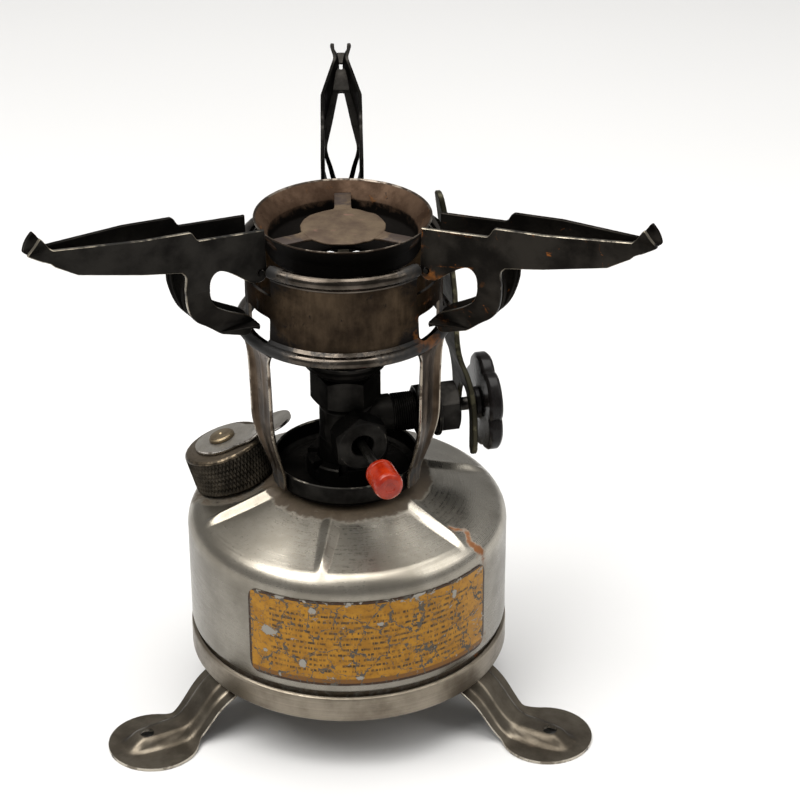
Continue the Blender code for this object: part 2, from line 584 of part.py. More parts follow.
SIDE_PLATE = [
    (31.3, 178.4), (42.0, 179.3), (53.5, 180.4), (55.6, 183.5), (72.0, 184.8), (98.3, 186.6),
    (99.6, 187.4), (101.6, 190.4), (102.9, 191.9), (103.9, 191.4), (106.6, 185.2), (105.8, 184.6),
    (100.8, 182.3), (99.2, 182.2), (98.2, 181.2), (91.5, 177.4), (72.0, 173.6), (58.9, 171.0),
    (57.8, 168.7), (58.6, 165.2), (58.1, 160.8), (56.9, 155.3), (54.2, 152.0), (50.7, 149.6),
    (48.4, 147.8), (46.2, 146.0), (44.0, 145.3), (38.4, 143.9), (36.2, 144.6), (35.2, 146.6),
    (35.4, 148.8), (37.2, 150.0), (40.0, 151.4), (44.0, 153.5), (47.8, 156.1), (49.4, 159.7),
    (50.4, 163.0), (50.1, 166.2), (47.7, 169.2), (45.0, 168.0), (41.0, 165.4), (38.4, 163.4),
    (36.6, 161.9), (34.8, 161.4), (32.6, 161.6), (31.2, 162.8), (30.9, 166.0), (31.1, 172.4)]

# Sheet that joins the two side plates: (r, z, half width, half width of its opening),
# from the tip, under the arm and down the outside of its curved leg.
WEB = [(105.9, 185.4, 3.0, 0.0), (98.5, 182.3, 2.3, 0.0), (91.4, 178.0, 3.3, 0.0),
       (90.6, 177.84, 3.5, 1.0), (72.0, 174.2, 6.1, 3.2), (60.2, 171.9, 6.1, 4.8),
       (58.5, 170.5, 6.1, 4.9), (57.6, 168.4, 5.9, 4.4), (58.0, 164.8, 4.9, 3.3),
       (57.6, 160.4, 3.9, 2.1), (56.1, 155.6, 2.9, 0.9), (54.6, 153.6, 2.6, 0.4),
       (53.4, 152.3, 2.6, 0.0), (50.8, 150.4, 2.8, 0.0)]
WEB_T = 0.9


def strip(rows, thick, a):
    """Bent strip whose (r, z, half width) rows follow the middle of the sheet."""
    rings = []
    for i, (r, z, half) in enumerate(rows):
        r0, z0 = rows[max(i - 1, 0)][:2]
        r1, z1 = rows[min(i + 1, len(rows) - 1)][:2]
        n = math.hypot(r1 - r0, z1 - z0)
        nr, nz = -(z1 - z0) / n * thick / 2, (r1 - r0) / n * thick / 2
        rings.append([a @ Vector((r + k * nr, s, z + k * nz))
                      for s, k in ((-half, 1), (half, 1), (half, -1), (-half, -1))])
    return loft(rings, closed=False)


def build_support(place):
    a = Matrix.Rotation(rad(ARM_ANGLES[place]), 4, "Z")
    pivot = a @ Vector((HINGE_R, 0.0, HINGE_Z))
    hole = circle(HINGE_R, HINGE_Z, 1.2, 8)
    sides = []
    for sign in (-1, 1):
        def plate(u, v, side, sign=sign):
            s = sign * plate_offset(u, v) + (side - 0.5) * PLATE_T
            return a @ Vector((u, s, v))
        sides.append(put("side_stub", *slab([SIDE_PLATE, hole], plate), DARK, pivot))

    web = put("web_stub", *strip([row[:3] for row in WEB], WEB_T, a), DARK, pivot)
    opening = [(r, z, gap) for r, z, _half, gap in WEB if gap]
    shield = [(101.6, 183.6, 1.1), (100.6, 183.2, 1.1), (99.6, 182.8, 0.5)]
    combine(web, [put("cut_opening", *strip(opening, 2.4, a), DARK, pivot),
                  put("cut_shield", *strip(shield, 3.0, a), DARK, pivot)], "DIFFERENCE")

    def tail(u, v, side):
        return a @ Vector((u, (side - 0.5) * 2 * (plate_offset(u, v) + 0.1), v))
    hook = [(36.0, 145.6), (38.4, 144.9), (43.6, 146.2), (46.4, 147.8), (50.0, 150.8),
            (50.0, 152.2), (47.0, 150.6), (44.0, 149.6), (38.0, 147.6), (36.0, 148.0)]
    nose = put("nose_stub", *slab([hook], tail), DARK, pivot)
    arm = sides[0]
    combine(arm, [sides[1], web, nose], "UNION")
    arm.name = arm.data.name = "pot_support_" + place
    arm.data.materials[0].name = arm.name + "_finish"
    pin = [(0.0, -7.35), (0.85, -7.35), (0.85, 7.35), (0.0, 7.35)]
    side_axis = a @ Matrix.Translation((HINGE_R, 0.0, HINGE_Z)) @ Matrix.Rotation(rad(90), 4, "X")
    put("hinge_pin_" + place, *lathe(pin, 12, side_axis), BROWN, pivot)


# ---- wrench -------------------------------------------------------------------
def build_wrench():
    """Flat spanner whose jaw straddles the valve stem and whose shank leans on the frame."""
    az = rad(VALVE_AZ)
    out = Vector((math.cos(az), math.sin(az), 0.0))
    side = Vector((-math.sin(az), math.cos(az), 0.0))
    bend = [(80.0, 40.2), (111.0, 40.2), (119.0, 38.0), (141.0, 36.9), (162.0, 34.6),
            (186.0, 30.4)]

    def place(w, z, face):
        for (z0, d0), (z1, d1) in zip(bend, bend[1:]):
            if z <= z1:
                d = d0 + (d1 - d0) * (z - z0) / (z1 - z0)
                break
        return (d + (face - 0.5) * 1.8) * out + w * side + Vector((0.0, 0.0, z))
    jaw = [(8.0, 89.5), (8.0, 98.0), (6.6, 103.6), (3.6, 107.0), (0.0, 108.0), (-3.6, 107.0),
           (-6.6, 103.6), (-8.0, 98.0), (-8.0, 89.5), (-9.6, 87.6)]
    front = [(-12.6, 89.0), (-12.8, 98.0), (-10.4, 106.0), (-7.0, 111.0), (0.4, 119.0),
             (2.0, 126.0), (2.0, 141.0), (2.2, 160.0), (2.4, 170.0)]
    top = [(3.4, 173.6), (6.0, 175.2), (8.6, 173.8), (10.0, 170.0)]
    back = [(12.0, 160.0), (14.6, 150.0), (16.4, 141.0), (16.4, 119.0), (15.4, 111.0),
            (13.6, 104.0), (12.8, 98.0), (12.4, 89.0), (9.4, 87.6)]
    slot = [(6.0, 147.0), (10.0, 147.0), (10.0, 153.4), (6.0, 153.4)]
    socket = circle(9.2, 130.0, 4.6, 6, rad(30.0))
    origin = 40.2 * out + Vector((0.0, 0.0, VALVE_Z))
    put("wrench", *slab([jaw + front + top + back, slot, socket], place), OLIVE, origin)


def main():
    for obj in list(bpy.data.objects):
        bpy.data.objects.remove(obj)
    build_tank()
    for place in ARM_ANGLES:
        build_foot(place)
    build_pump()
    build_column()
    build_burner()
    build_frame()
    for place in ARM_ANGLES:
        build_support(place)
    build_wrench()


main()
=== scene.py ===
"""Looks of the camp stove: fine shapes and materials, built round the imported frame.

Lengths are millimetres about the stove's vertical axis unless a name says otherwise;
put() turns them into metres in the frame.
"""
import json
import math

import bmesh
import bpy
from mathutils import Matrix, Vector, noise
from mathutils.geometry import tessellate_polygon


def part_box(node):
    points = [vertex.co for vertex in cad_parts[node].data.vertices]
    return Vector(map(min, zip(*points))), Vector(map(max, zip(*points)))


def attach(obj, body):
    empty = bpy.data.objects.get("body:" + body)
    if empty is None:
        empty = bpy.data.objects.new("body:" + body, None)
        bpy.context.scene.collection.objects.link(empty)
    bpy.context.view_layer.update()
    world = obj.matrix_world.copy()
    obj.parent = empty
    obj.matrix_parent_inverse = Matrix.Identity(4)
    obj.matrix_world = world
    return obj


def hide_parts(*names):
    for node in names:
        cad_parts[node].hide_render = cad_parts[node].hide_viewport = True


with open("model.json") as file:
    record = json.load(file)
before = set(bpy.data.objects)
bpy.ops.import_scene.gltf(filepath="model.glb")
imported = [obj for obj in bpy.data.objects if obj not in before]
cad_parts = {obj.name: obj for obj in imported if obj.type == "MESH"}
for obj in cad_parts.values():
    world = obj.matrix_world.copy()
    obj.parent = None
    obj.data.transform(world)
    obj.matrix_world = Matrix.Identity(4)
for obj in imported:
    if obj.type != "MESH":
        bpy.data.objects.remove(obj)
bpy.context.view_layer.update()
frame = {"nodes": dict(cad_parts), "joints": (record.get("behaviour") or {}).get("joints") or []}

MM = 0.001
JOINTS = {j["name"]: j for j in frame["joints"]}


# ---- places read from the frame ------------------------------------------------
def middle(node):
    lo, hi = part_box(node)
    return (lo + hi) / 2


AXIS = Vector((middle("burner_bowl").x, middle("burner_bowl").y, 0.0))


def extent(node):
    """Half width across X, lowest z and highest z of a node that is round about the axis."""
    lo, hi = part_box(node)
    return (hi.x - lo.x) / 2 / MM, lo.z / MM, hi.z / MM


def joint_point(name):
    return (Vector(JOINTS[name]["pos_m"]) - AXIS) / MM


def outward(direction, origin):
    """Frame whose local Z runs along a direction, with local Y straight up."""
    out = Vector(direction).normalized()
    side = Vector((0.0, 0.0, 1.0)).cross(out).normalized()
    m = Matrix((side, out.cross(side), out)).transposed().to_4x4()
    m.translation = origin
    return m


SIDES = ("back", "left", "right")
ARM_TURN = {s: math.atan2(joint_point(s + "_support_lift").y, joint_point(s + "_support_lift").x)
            for s in SIDES}


def facing(side):
    """Turn that brings local X round to one of the three arms."""
    return Matrix.Rotation(ARM_TURN[side], 4, "Z")


VALVE_OUT = Vector(JOINTS["valve_turn"]["axis"]).normalized()
VALVE = outward(VALVE_OUT, (0.0, 0.0, joint_point("valve_turn").z))
LEVER_OUT = Vector(JOINTS["cleaner_press"]["axis"]).cross(Vector((0.0, 0.0, 1.0)))
LEVER = outward(LEVER_OUT, (0.0, 0.0, joint_point("cleaner_press").z))


def pump_frame():
    axis = Vector(JOINTS["cap_turn"]["axis"]).normalized()
    origin = joint_point("cap_turn")
    out = Vector((origin.x, origin.y, 0.0)).normalized()
    inward = (axis * axis.dot(out) - out).normalized()
    m = Matrix((inward, axis.cross(inward), axis)).transposed().to_4x4()
    m.translation = origin
    return m


PUMP = pump_frame()
TANK_R, TANK_Z0, _ = extent("tank_shell")
DOME_Z = extent("cup_washer")[1] - 0.3
BAND_R, BAND_Z0, _ = extent("tank_base")
CUP_R, CUP_Z0, CUP_Z1 = extent("primer_cup")
NUT_R, NUT_Z0, NUT_Z1 = extent("ring_nut")
DISH_R, DISH_Z0, DISH_Z1 = extent("base_dish")
HEX_Z0, HEX_Z1 = extent("burner_hex_nut")[1:]
BOWL_R, BOWL_Z0, BOWL_Z1 = extent("burner_bowl")
FRAME_Z0, FRAME_Z1 = extent("burner_frame")[1:]
FRAME_R = 31.2
HINGE_R = math.hypot(*joint_point("back_support_lift").xy)
HINGE_Z = joint_point("back_support_lift").z
RIB_ANGLES = [19.5 + 60 * k for k in range(6)]
LABEL_A0, LABEL_A1 = 233.0, 326.0
LABEL_Z0, LABEL_Z1 = (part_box("label_plate")[k].z / MM for k in (0, 1))
# bare patches on the label: mm along it, share of its height, half width, half height
LABEL_PATCHES = ((7.6, 0.55, 4.4, 2.6), (22.5, 0.88, 1.8, 1.7), (19.0, 0.24, 1.5, 2.4),
                 (6.0, 0.30, 1.2, 1.0), (44.0, 0.72, 1.6, 1.0), (37.5, 0.09, 1.7, 1.1),
                 (70.5, 0.84, 1.3, 2.2))


# ---- meshes ----------------------------------------------------------------------
class Shape:
    """Vertices in mm, faces, a material number for each face and flow coordinates in mm."""

    def __init__(self):
        self.verts, self.faces, self.mats, self.flow = [], [], [], []

    def face(self, loop, flow, mat=0):
        self.faces.append(tuple(loop))
        self.flow.append(flow)
        self.mats.append(mat)

    def add(self, other):
        n = len(self.verts)
        self.verts += other.verts
        for loop, flow, mat in zip(other.faces, other.flow, other.mats):
            self.face([n + i for i in loop], flow, mat)
        return self

    def moved(self, tf):
        self.verts = [tf @ Vector(v) for v in self.verts]
        return self

    def recolour(self, mat):
        self.mats = [mat] * len(self.mats)
        return self


def rad(deg):
    return math.radians(deg)


def smoothstep(x):
    x = min(1.0, max(0.0, x))
    return x * x * (3.0 - 2.0 * x)


def apart(deg, other):
    """Smallest turn in degrees between two directions."""
    return abs((deg - other + 180.0) % 360.0 - 180.0)


def soften(points, rounds=2):
    """Round an outline's corners, except those marked with a third value."""
    pts = [p if len(p) == 3 else (*p, 0) for p in points]
    for _ in range(rounds):
        new = []
        for k, (x, y, sharp) in enumerate(pts):
            if sharp:
                new.append((x, y, 1))
                continue
            for ox, oy, _s in (pts[k - 1], pts[(k + 1) % len(pts)]):
                new.append((0.75 * x + 0.25 * ox, 0.75 * y + 0.25 * oy, 0))
        pts = new
    return [(x, y) for x, y, _ in pts]


def curve_through(rows, steps):
    """Catmull-Rom samples through rows of numbers."""
    out = []
    for i in range(len(rows) - 1):
        p = [rows[max(i - 1, 0)], rows[i], rows[i + 1], rows[min(i + 2, len(rows) - 1)]]
        for s in range(steps):
            t = s / steps
            w = ((-t + 2 * t * t - t ** 3) / 2, (2 - 5 * t * t + 3 * t ** 3) / 2,
                 (t + 4 * t * t - 3 * t ** 3) / 2, (t ** 3 - t * t) / 2)
            out.append(tuple(sum(a * q[k] for a, q in zip(w, p)) for k in range(len(rows[0]))))
    out.append(tuple(rows[-1]))
    return out


def rounded(profile, radius, steps):
    """Fillet each corner of a closed (r, z) loop; returns points and worn-edge flags."""
    pts, worn = [], []
    n = len(profile)
    for k in range(n):
        p = Vector(profile[k])
        a, b = Vector(profile[k - 1]) - p, Vector(profile[(k + 1) % n]) - p
        turn = math.pi - a.angle(b, math.pi)
        if p.x < 1e-6 or turn < rad(12):
            pts.append(tuple(p))
            worn.append(False)
            continue
        cut = min(radius * math.tan(turn / 2), 0.45 * a.length, 0.45 * b.length)
        start, end = p + a.normalized() * cut, p + b.normalized() * cut
        for s in range(steps + 1):
            t = s / steps
            q = start.lerp(p, t).lerp(p.lerp(end, t), t)
            pts.append(tuple(q))
            worn.append(s < steps and turn > rad(40))
    return pts, worn


def lathe(profile, segs=96, radius=0.35, radial=None, angles=None, worn_mat=1, steps=3):
    """Revolve a closed (r, z) loop with filleted corners."""
    pts, worn = rounded(profile, radius, steps) if radius else (profile, [False] * len(profile))
    angles = angles or [360.0 * k / segs for k in range(segs)]
    segs = len(angles)
    shape, rows, run = Shape(), [], [0.0]
    for k, (r, z) in enumerate(pts):
        if k:
            run.append(run[-1] + math.dist(pts[k - 1], pts[k]))
        if r < 1e-6:
            rows.append([len(shape.verts)] * segs)
            shape.verts.append(Vector((0.0, 0.0, z)))
            continue
        rows.append(list(range(len(shape.verts), len(shape.verts) + segs)))
        for deg in angles:
            rr, zz = radial(r, z, rad(deg)) if radial else (r, z)
            shape.verts.append(Vector((rr * math.cos(rad(deg)), rr * math.sin(rad(deg)), zz)))
    wide = max(p[0] for p in pts)
    around = [wide * rad(a) for a in angles] + [wide * rad(angles[0] + 360.0)]
    for i, row in enumerate(rows):
        nxt = rows[(i + 1) % len(rows)]
        v0, v1 = run[i], run[i + 1] if i + 1 < len(rows) else run[i] + 1.0
        for k in range(segs):
            j = (k + 1) % segs
            loop = [row[k], row[j], nxt[j], nxt[k]]
            flow = [(around[k], v0), (around[k + 1], v0), (around[k + 1], v1), (around[k], v1)]
            keep = [m for m, v in enumerate(loop) if v not in loop[:m]]
            if len(keep) > 2:
                shape.face([loop[m] for m in keep], [flow[m] for m in keep],
                           worn_mat if worn[i] else 0)
    return shape


def loft(rings, closed=False, mat_of=None):
    """Skin a list of closed rings of equal length; closed joins the last ring to the first."""
    shape, n = Shape(), len(rings[0])
    shape.verts = [Vector(p) for ring in rings for p in ring]
    run = [0.0]
    for a, b in zip(rings, rings[1:]):
        run.append(run[-1] + (Vector(a[0]) - Vector(b[0])).length)
    side = [0.0]
    for k in range(n):
        side.append(side[-1] + (Vector(rings[0][k]) - Vector(rings[0][(k + 1) % n])).length)
    for i in range(len(rings) if closed else len(rings) - 1):
        a, b = i * n, ((i + 1) % len(rings)) * n
        v0, v1 = run[i], run[i + 1] if i + 1 < len(run) else run[i] + 1.0
        for k in range(n):
            shape.face((a + k, a + (k + 1) % n, b + (k + 1) % n, b + k),
                       [(v0, side[k]), (v0, side[k + 1]), (v1, side[k + 1]), (v1, side[k])],
                       mat_of(i, k) if mat_of else 0)
    if not closed:
        for start in (0, (len(rings) - 1) * n):
            shape.face(range(start, start + n), [(0.0, side[k]) for k in range(n)])
    return shape


def strip_edges(n, *more):
    """Worn rims for a strip whose section has n points across its top, 2, n below and 2."""
    rims = (n - 1, n, n + 1, 2 * n + 1, 2 * n + 2, 2 * n + 3, *more)
    return lambda _ring, k: 1 if k in rims else 0


def inset(loop, depth):
    """Move a closed outline sideways towards its left by depth."""
    out = []
    n = len(loop)
    for k in range(n):
        p, a, b = (Vector(loop[i]) for i in (k, k - 1, (k + 1) % n))
        d0, d1 = (p - a).normalized(), (b - p).normalized()
        n0, n1 = Vector((-d0.y, d0.x)), Vector((-d1.y, d1.x))
        mid = n0 + n1
        if mid.length < 1e-4:
            mid = n0
        mid.normalize()
        out.append(tuple(p + mid * depth / max(0.5, mid.dot(n0))))
    return out


def area(loop):
    return sum(a[0] * b[1] - b[0] * a[1] for a, b in zip(loop, loop[1:] + loop[:1])) / 2


def slab(loops, thick, place, edge=0.22, cuts_u=(), cuts_v=()):
    """Sheet part with worn, bevelled rims; place(u, v, h) bends the flat sheet into place."""
    loops = [[p[:2] for p in loop] for loop in loops]
    loops = [lp if (area(lp) > 0) == (k == 0) else lp[::-1] for k, lp in enumerate(loops)]
    small = [inset(lp, edge) for lp in loops]
    bm = bmesh.new()
    levels = ((small, 0.0), (loops, edge), (loops, thick - edge), (small, thick))
    rows = [[[bm.verts.new((u, v, h)) for u, v in lp] for lp in src] for src, h in levels]
    for a, b, mat in ((0, 1, 1), (1, 2, 1), (2, 3, 1)):
        for low, high in zip(rows[a], rows[b]):
            for k in range(len(low)):
                j = (k + 1) % len(low)
                f = bm.faces.new((low[k], low[j], high[j], high[k]))
                f.material_index = mat
    tris = tessellate_polygon([[Vector((u, v, 0.0)) for u, v in lp] for lp in small])
    for level, flip in ((0, True), (3, False)):
        flat = [v for lp in rows[level] for v in lp]
        for t in tris:
            bm.faces.new([flat[i] for i in (reversed(t) if flip else t)])
    for cuts, normal in ((cuts_u, (1, 0, 0)), (cuts_v, (0, 1, 0))):
        for c in cuts:
            geom = list(bm.verts) + list(bm.edges) + list(bm.faces)
            bmesh.ops.bisect_plane(bm, geom=geom, dist=1e-5, plane_co=[c * x for x in normal],
                                   plane_no=normal)
    bmesh.ops.recalc_face_normals(bm, faces=bm.faces)
    bm.verts.index_update()
    shape = Shape()
    shape.verts = [Vector(place(*v.co)) for v in bm.verts]
    for f in bm.faces:
        shape.face([v.index for v in f.verts], [(v.co.x, v.co.y + v.co.z) for v in f.verts],
                   f.material_index)
    bm.free()
    return shape


def arc_points(cr, cz, radius, start, end, steps):
    turns = [rad(start + (end - start) * k / steps) for k in range(steps + 1)]
    return [(cr + radius * math.cos(a), cz + radius * math.sin(a)) for a in turns]


def circle(cu, cv, r, n, start=0.0):
    return [(cu + r * math.cos(start + 2 * math.pi * k / n),
             cv + r * math.sin(start + 2 * math.pi * k / n)) for k in range(n)]


def put(name, shape, mats, body=None, nodes=(), sharp=32.0, paint=None):
    """Make the object, and with a body let it ride there in place of CAD nodes."""
    mesh = bpy.data.meshes.new(name)
    mesh.from_pydata([Vector(v) * MM + AXIS for v in shape.verts], [], shape.faces)
    flow = mesh.uv_layers.new(name="flow")
    for poly, coords, mat in zip(mesh.polygons, shape.flow, shape.mats):
        poly.material_index = min(mat, len(mats) - 1)
        for i, (u, v) in zip(poly.loop_indices, coords):
            flow.data[i].uv = (u, v)
    for kind in ("stain", "rust"):
        values = mesh.attributes.new(kind, "FLOAT", "POINT")
        if paint:
            spots = [paint(kind, Vector(v)) for v in shape.verts]
            values.data.foreach_set("value", spots)
    for mat in mats:
        mesh.materials.append(mat)
    obj = bpy.data.objects.new(name, mesh)
    bpy.context.scene.collection.objects.link(obj)
    bm = bmesh.new()
    bm.from_mesh(mesh)
    bmesh.ops.recalc_face_normals(bm, faces=bm.faces)
    bm.to_mesh(mesh)
    bm.free()
    mesh.shade_smooth()
    mesh.set_sharp_from_angle(angle=rad(sharp))
    if body:
        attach(obj, body)
        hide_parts(*nodes)
    return obj


def cut(obj, shapes, sharp=32.0):
    """Cut shapes out of an object with an exact boolean and drop the cutters."""
    for k, shape in enumerate(shapes):
        cutter = put(f"cutter_{k}", shape, list(obj.data.materials)[-1:])
        mod = obj.modifiers.new("cut", "BOOLEAN")
        mod.operation, mod.solver, mod.object = "DIFFERENCE", "EXACT", cutter
        mod.material_mode = "INDEX"
        mesh = bpy.data.meshes.new_from_object(
            obj.evaluated_get(bpy.context.evaluated_depsgraph_get()))
        obj.modifiers.clear()
        obj.data = mesh
        bpy.data.objects.remove(cutter)
    obj.data.set_sharp_from_angle(angle=rad(sharp))
    return obj


# ---- materials --------------------------------------------------------------------
class Graph:
    """Small helper for wiring a material's nodes."""

    def __init__(self, name):
        self.mat = bpy.data.materials.new(name)
        self.mat.use_nodes = True
        self.tree = self.mat.node_tree
        self.shader = self.tree.nodes["Principled BSDF"]
        self.where = self.add("ShaderNodeTexCoord").outputs["Object"]
        uv = self.add("ShaderNodeUVMap")
        uv.uv_map = "flow"
        self.flow = uv.outputs["UV"]

    def add(self, kind, **values):
        node = self.tree.nodes.new(kind)
        for key, value in values.items():
            if hasattr(node, key):
                setattr(node, key, value)
            else:
                node.inputs[key.replace("_", " ")].default_value = value
        return node

    def wire(self, source, socket):
        if hasattr(source, "links"):
            self.tree.links.new(source, socket)
        else:
            socket.default_value = source

    def math(self, op, a, b=0.0):
        node = self.add("ShaderNodeMath", operation=op)
        self.wire(a, node.inputs[0])
        self.wire(b, node.inputs[1])
        return node.outputs[0]

    def ramp(self, value, low, high, a=0.0, b=1.0):
        node = self.add("ShaderNodeMapRange", interpolation_type="SMOOTHSTEP")
        self.wire(value, node.inputs["Value"])
        for key, number in (("From Min", low), ("From Max", high), ("To Min", a), ("To Max", b)):
            node.inputs[key].default_value = number
        return node.outputs["Result"]

    def scaled(self, vector, factor):
        node = self.add("ShaderNodeVectorMath", operation="SCALE")
        self.wire(vector, node.inputs[0])
        self.wire(factor, node.inputs["Scale"])
        return node.outputs[0]

    def split(self, vector):
        node = self.add("ShaderNodeSeparateXYZ")
        self.wire(vector, node.inputs[0])
        return node.outputs

    def noise(self, scale, detail=4.0, rough=0.55, stretch=None, warp=0.0, seed=0.0):
        """Noise in object space, or along the flow coordinates when stretch is given."""
        mapping = self.add("ShaderNodeMapping")
        self.wire(self.flow if stretch else self.where, mapping.inputs["Vector"])
        mapping.inputs["Scale"].default_value = (*stretch, 1.0) if stretch else (1.0, 1.0, 1.0)
        mapping.inputs["Location"].default_value = (seed, seed * 0.7, seed * 1.3)
        node = self.add("ShaderNodeTexNoise", Scale=scale, Detail=detail, Roughness=rough,
                        Distortion=warp)
        self.wire(mapping.outputs["Vector"], node.inputs["Vector"])
        return node.outputs["Fac"]

    def cells(self, scale, seed, warp):
        """Distance to the nearest cell edge over the flow coordinates, pushed about by warp."""
        mapping = self.add("ShaderNodeMapping")
        self.wire(self.flow, mapping.inputs["Vector"])
        mapping.inputs["Location"].default_value = (seed, seed, 0.0)
        push = self.add("ShaderNodeVectorMath", operation="ADD")
        self.wire(mapping.outputs["Vector"], push.inputs[0])
        self.wire(warp, push.inputs[1])
        node = self.add("ShaderNodeTexVoronoi", feature="DISTANCE_TO_EDGE", Scale=scale)
        self.wire(push.outputs[0], node.inputs["Vector"])
        return node.outputs["Distance"]

    def mix(self, fac, a, b):
        node = self.add("ShaderNodeMix", data_type="RGBA")
        self.wire(fac, node.inputs[0])
        for socket, value in ((node.inputs[6], a), (node.inputs[7], b)):
            self.wire((*value, 1.0) if isinstance(value, tuple) else value, socket)
        return node.outputs[2]

    def number(self, fac, a, b):
        node = self.add("ShaderNodeMix", data_type="FLOAT")
        self.wire(fac, node.inputs[0])
        self.wire(a, node.inputs[2])
        self.wire(b, node.inputs[3])
        return node.outputs[0]

    def attribute(self, name):
        return self.add("ShaderNodeAttribute", attribute_name=name).outputs["Fac"]

    def finish(self, colour, rough, metallic, height=None, bump=0.2, reach=0.0002):
        for key, value in (("Base Color", colour), ("Roughness", rough), ("Metallic", metallic)):
            self.wire(value, self.shader.inputs[key])
        if height is not None:
            node = self.add("ShaderNodeBump", Strength=bump, Distance=reach)
            self.wire(height, node.inputs["Height"])
            self.wire(node.outputs["Normal"], self.shader.inputs["Normal"])
        return self.mat


def metal(name, dark, light, rough=(0.25, 0.45), metallic=1.0, patch=45.0, grain=None,
          grain_amount=0.35, spots=(), bump=0.25, seed=0.0, soot=(0.09, 0.065, 0.04),
          graze=None, painted_light_by_height=None):
    """Metal whose colour drifts from dark to light, with grain, spots, stains and rust.

    grain is the stretch of its brushing in (along, across); spots are (colour, scale,
    threshold, roughness, metallic) layers of tarnish; soot is the colour of its stains.
    graze holds back the sheen that a dark skin shows when seen at a low angle. The last
    argument paints light and shade by height: (low height, high height, shade below, shade above),
    with the heights in metres.
    """
    g = Graph(name)
    drift = g.noise(patch, 6.0, 0.6, seed=seed)
    speck = g.noise(900.0, 3.0, 0.7, seed=seed + 3.0)
    colour = g.mix(g.ramp(drift, 0.34, 0.66), dark, light)
    height = g.math("MULTIPLY", speck, 0.35)
    roughness = g.ramp(g.math("ADD", g.math("MULTIPLY", drift, 0.6),
                              g.math("MULTIPLY", speck, 0.4)), 0.3, 0.7, rough[1], rough[0])
    if grain:
        lines = g.noise(1.0, 5.0, 0.65, stretch=grain, seed=seed)
        colour = g.scaled(colour, g.ramp(lines, 0.3, 0.7, 1.0 - grain_amount, 1.0))
        height = g.math("ADD", height, lines)
        roughness = g.math("ADD", roughness, g.ramp(lines, 0.35, 0.65, 0.06, -0.04))
    metalness = metallic
    for k, (spot, scale, threshold, spot_rough, spot_metal) in enumerate(spots):
        field = g.noise(scale, 7.0, 0.68, warp=0.6, seed=seed + 11.0 * (k + 1))
        mask = g.ramp(field, threshold, threshold + 0.07)
        colour = g.mix(mask, colour, spot)
        roughness = g.number(mask, roughness, spot_rough)
        metalness = g.number(mask, metalness, spot_metal)
        height = g.number(mask, height, 0.55)
    # painted light and shade: the colour is scaled by height, darker below and lighter above
    if painted_light_by_height:
        colour = g.scaled(colour, g.ramp(g.split(g.where)[2], *painted_light_by_height))
    breakup = g.noise(260.0, 7.0, 0.7, warp=0.4, seed=seed + 5.0)
    for kind, shade, shade_rough in (("stain", soot, 0.62),
                                     ("rust", (0.27, 0.10, 0.025), 0.8)):
        amount = g.math("ADD", g.attribute(kind), g.math("MULTIPLY", breakup, 0.9))
        mask = g.ramp(amount, 0.86, 1.12)
        inner = g.mix(g.noise(700.0, 4.0, seed=seed + 7.0), shade,
                      tuple(0.45 * c for c in shade))
        colour = g.mix(mask, colour, inner)
        roughness = g.number(mask, roughness, shade_rough)
        metalness = g.number(mask, metalness, 0.25)
        height = g.math("ADD", height, g.math("MULTIPLY", mask, 0.5 if kind == "rust" else 0.1))
    if graze is not None:
        g.shader.inputs["Specular Tint"].default_value = (graze, graze, graze, 1.0)
        g.shader.inputs["Specular IOR Level"].default_value = graze
    return g.finish(colour, roughness, metalness, height, bump)


def worn(name, base, bright, cover=0.5, rough=(0.4, 0.3), seed=0.0, scale=160.0):
    """Edge material: bright metal showing in broken stretches through a darker skin."""
    g = Graph(name)
    field = g.noise(scale, 5.0, 0.65, seed=seed)
    mask = g.ramp(field, 0.62 - 0.3 * cover, 0.74 - 0.3 * cover)
    colour = g.mix(mask, base, bright)
    speck = g.noise(1100.0, 3.0, seed=seed + 2.0)
    return g.finish(colour, g.number(mask, rough[0], rough[1]), g.number(mask, 0.85, 1.0),
                    speck, 0.15)


def gloss(name, colour, deep, rough, scratch=0.05, seed=0.0, coat=0.3, shine=0.3):
    """Moulded plastic with faint cloudiness, scratches and grime."""
    g = Graph(name)
    cloud = g.noise(220.0, 4.0, seed=seed)
    fleck = g.noise(1400.0, 2.0, seed=seed + 4.0)
    tone = g.mix(g.ramp(cloud, 0.35, 0.7), colour, deep)
    grime = g.ramp(g.noise(320.0, 6.0, 0.7, seed=seed + 9.0), 0.62, 0.7)
    tone = g.mix(g.math("MULTIPLY", grime, 0.5), tone, tuple(0.35 * c for c in deep))
    scratches = g.noise(1.0, 3.0, stretch=(0.6, 9.0), seed=seed)
    roughness = g.math("ADD", g.number(grime, rough, rough + 0.25),
                       g.math("MULTIPLY", g.ramp(scratches, 0.55, 0.7), scratch))
    g.shader.inputs["Coat Weight"].default_value = coat
    g.shader.inputs["Coat Roughness"].default_value = 0.10
    g.shader.inputs["Specular IOR Level"].default_value = shine
    return g.finish(tone, roughness, 0.0, g.math("ADD", g.math("MULTIPLY", cloud, 0.6),
                                                 g.math("MULTIPLY", fleck, 0.12)), 0.12, 0.0003)


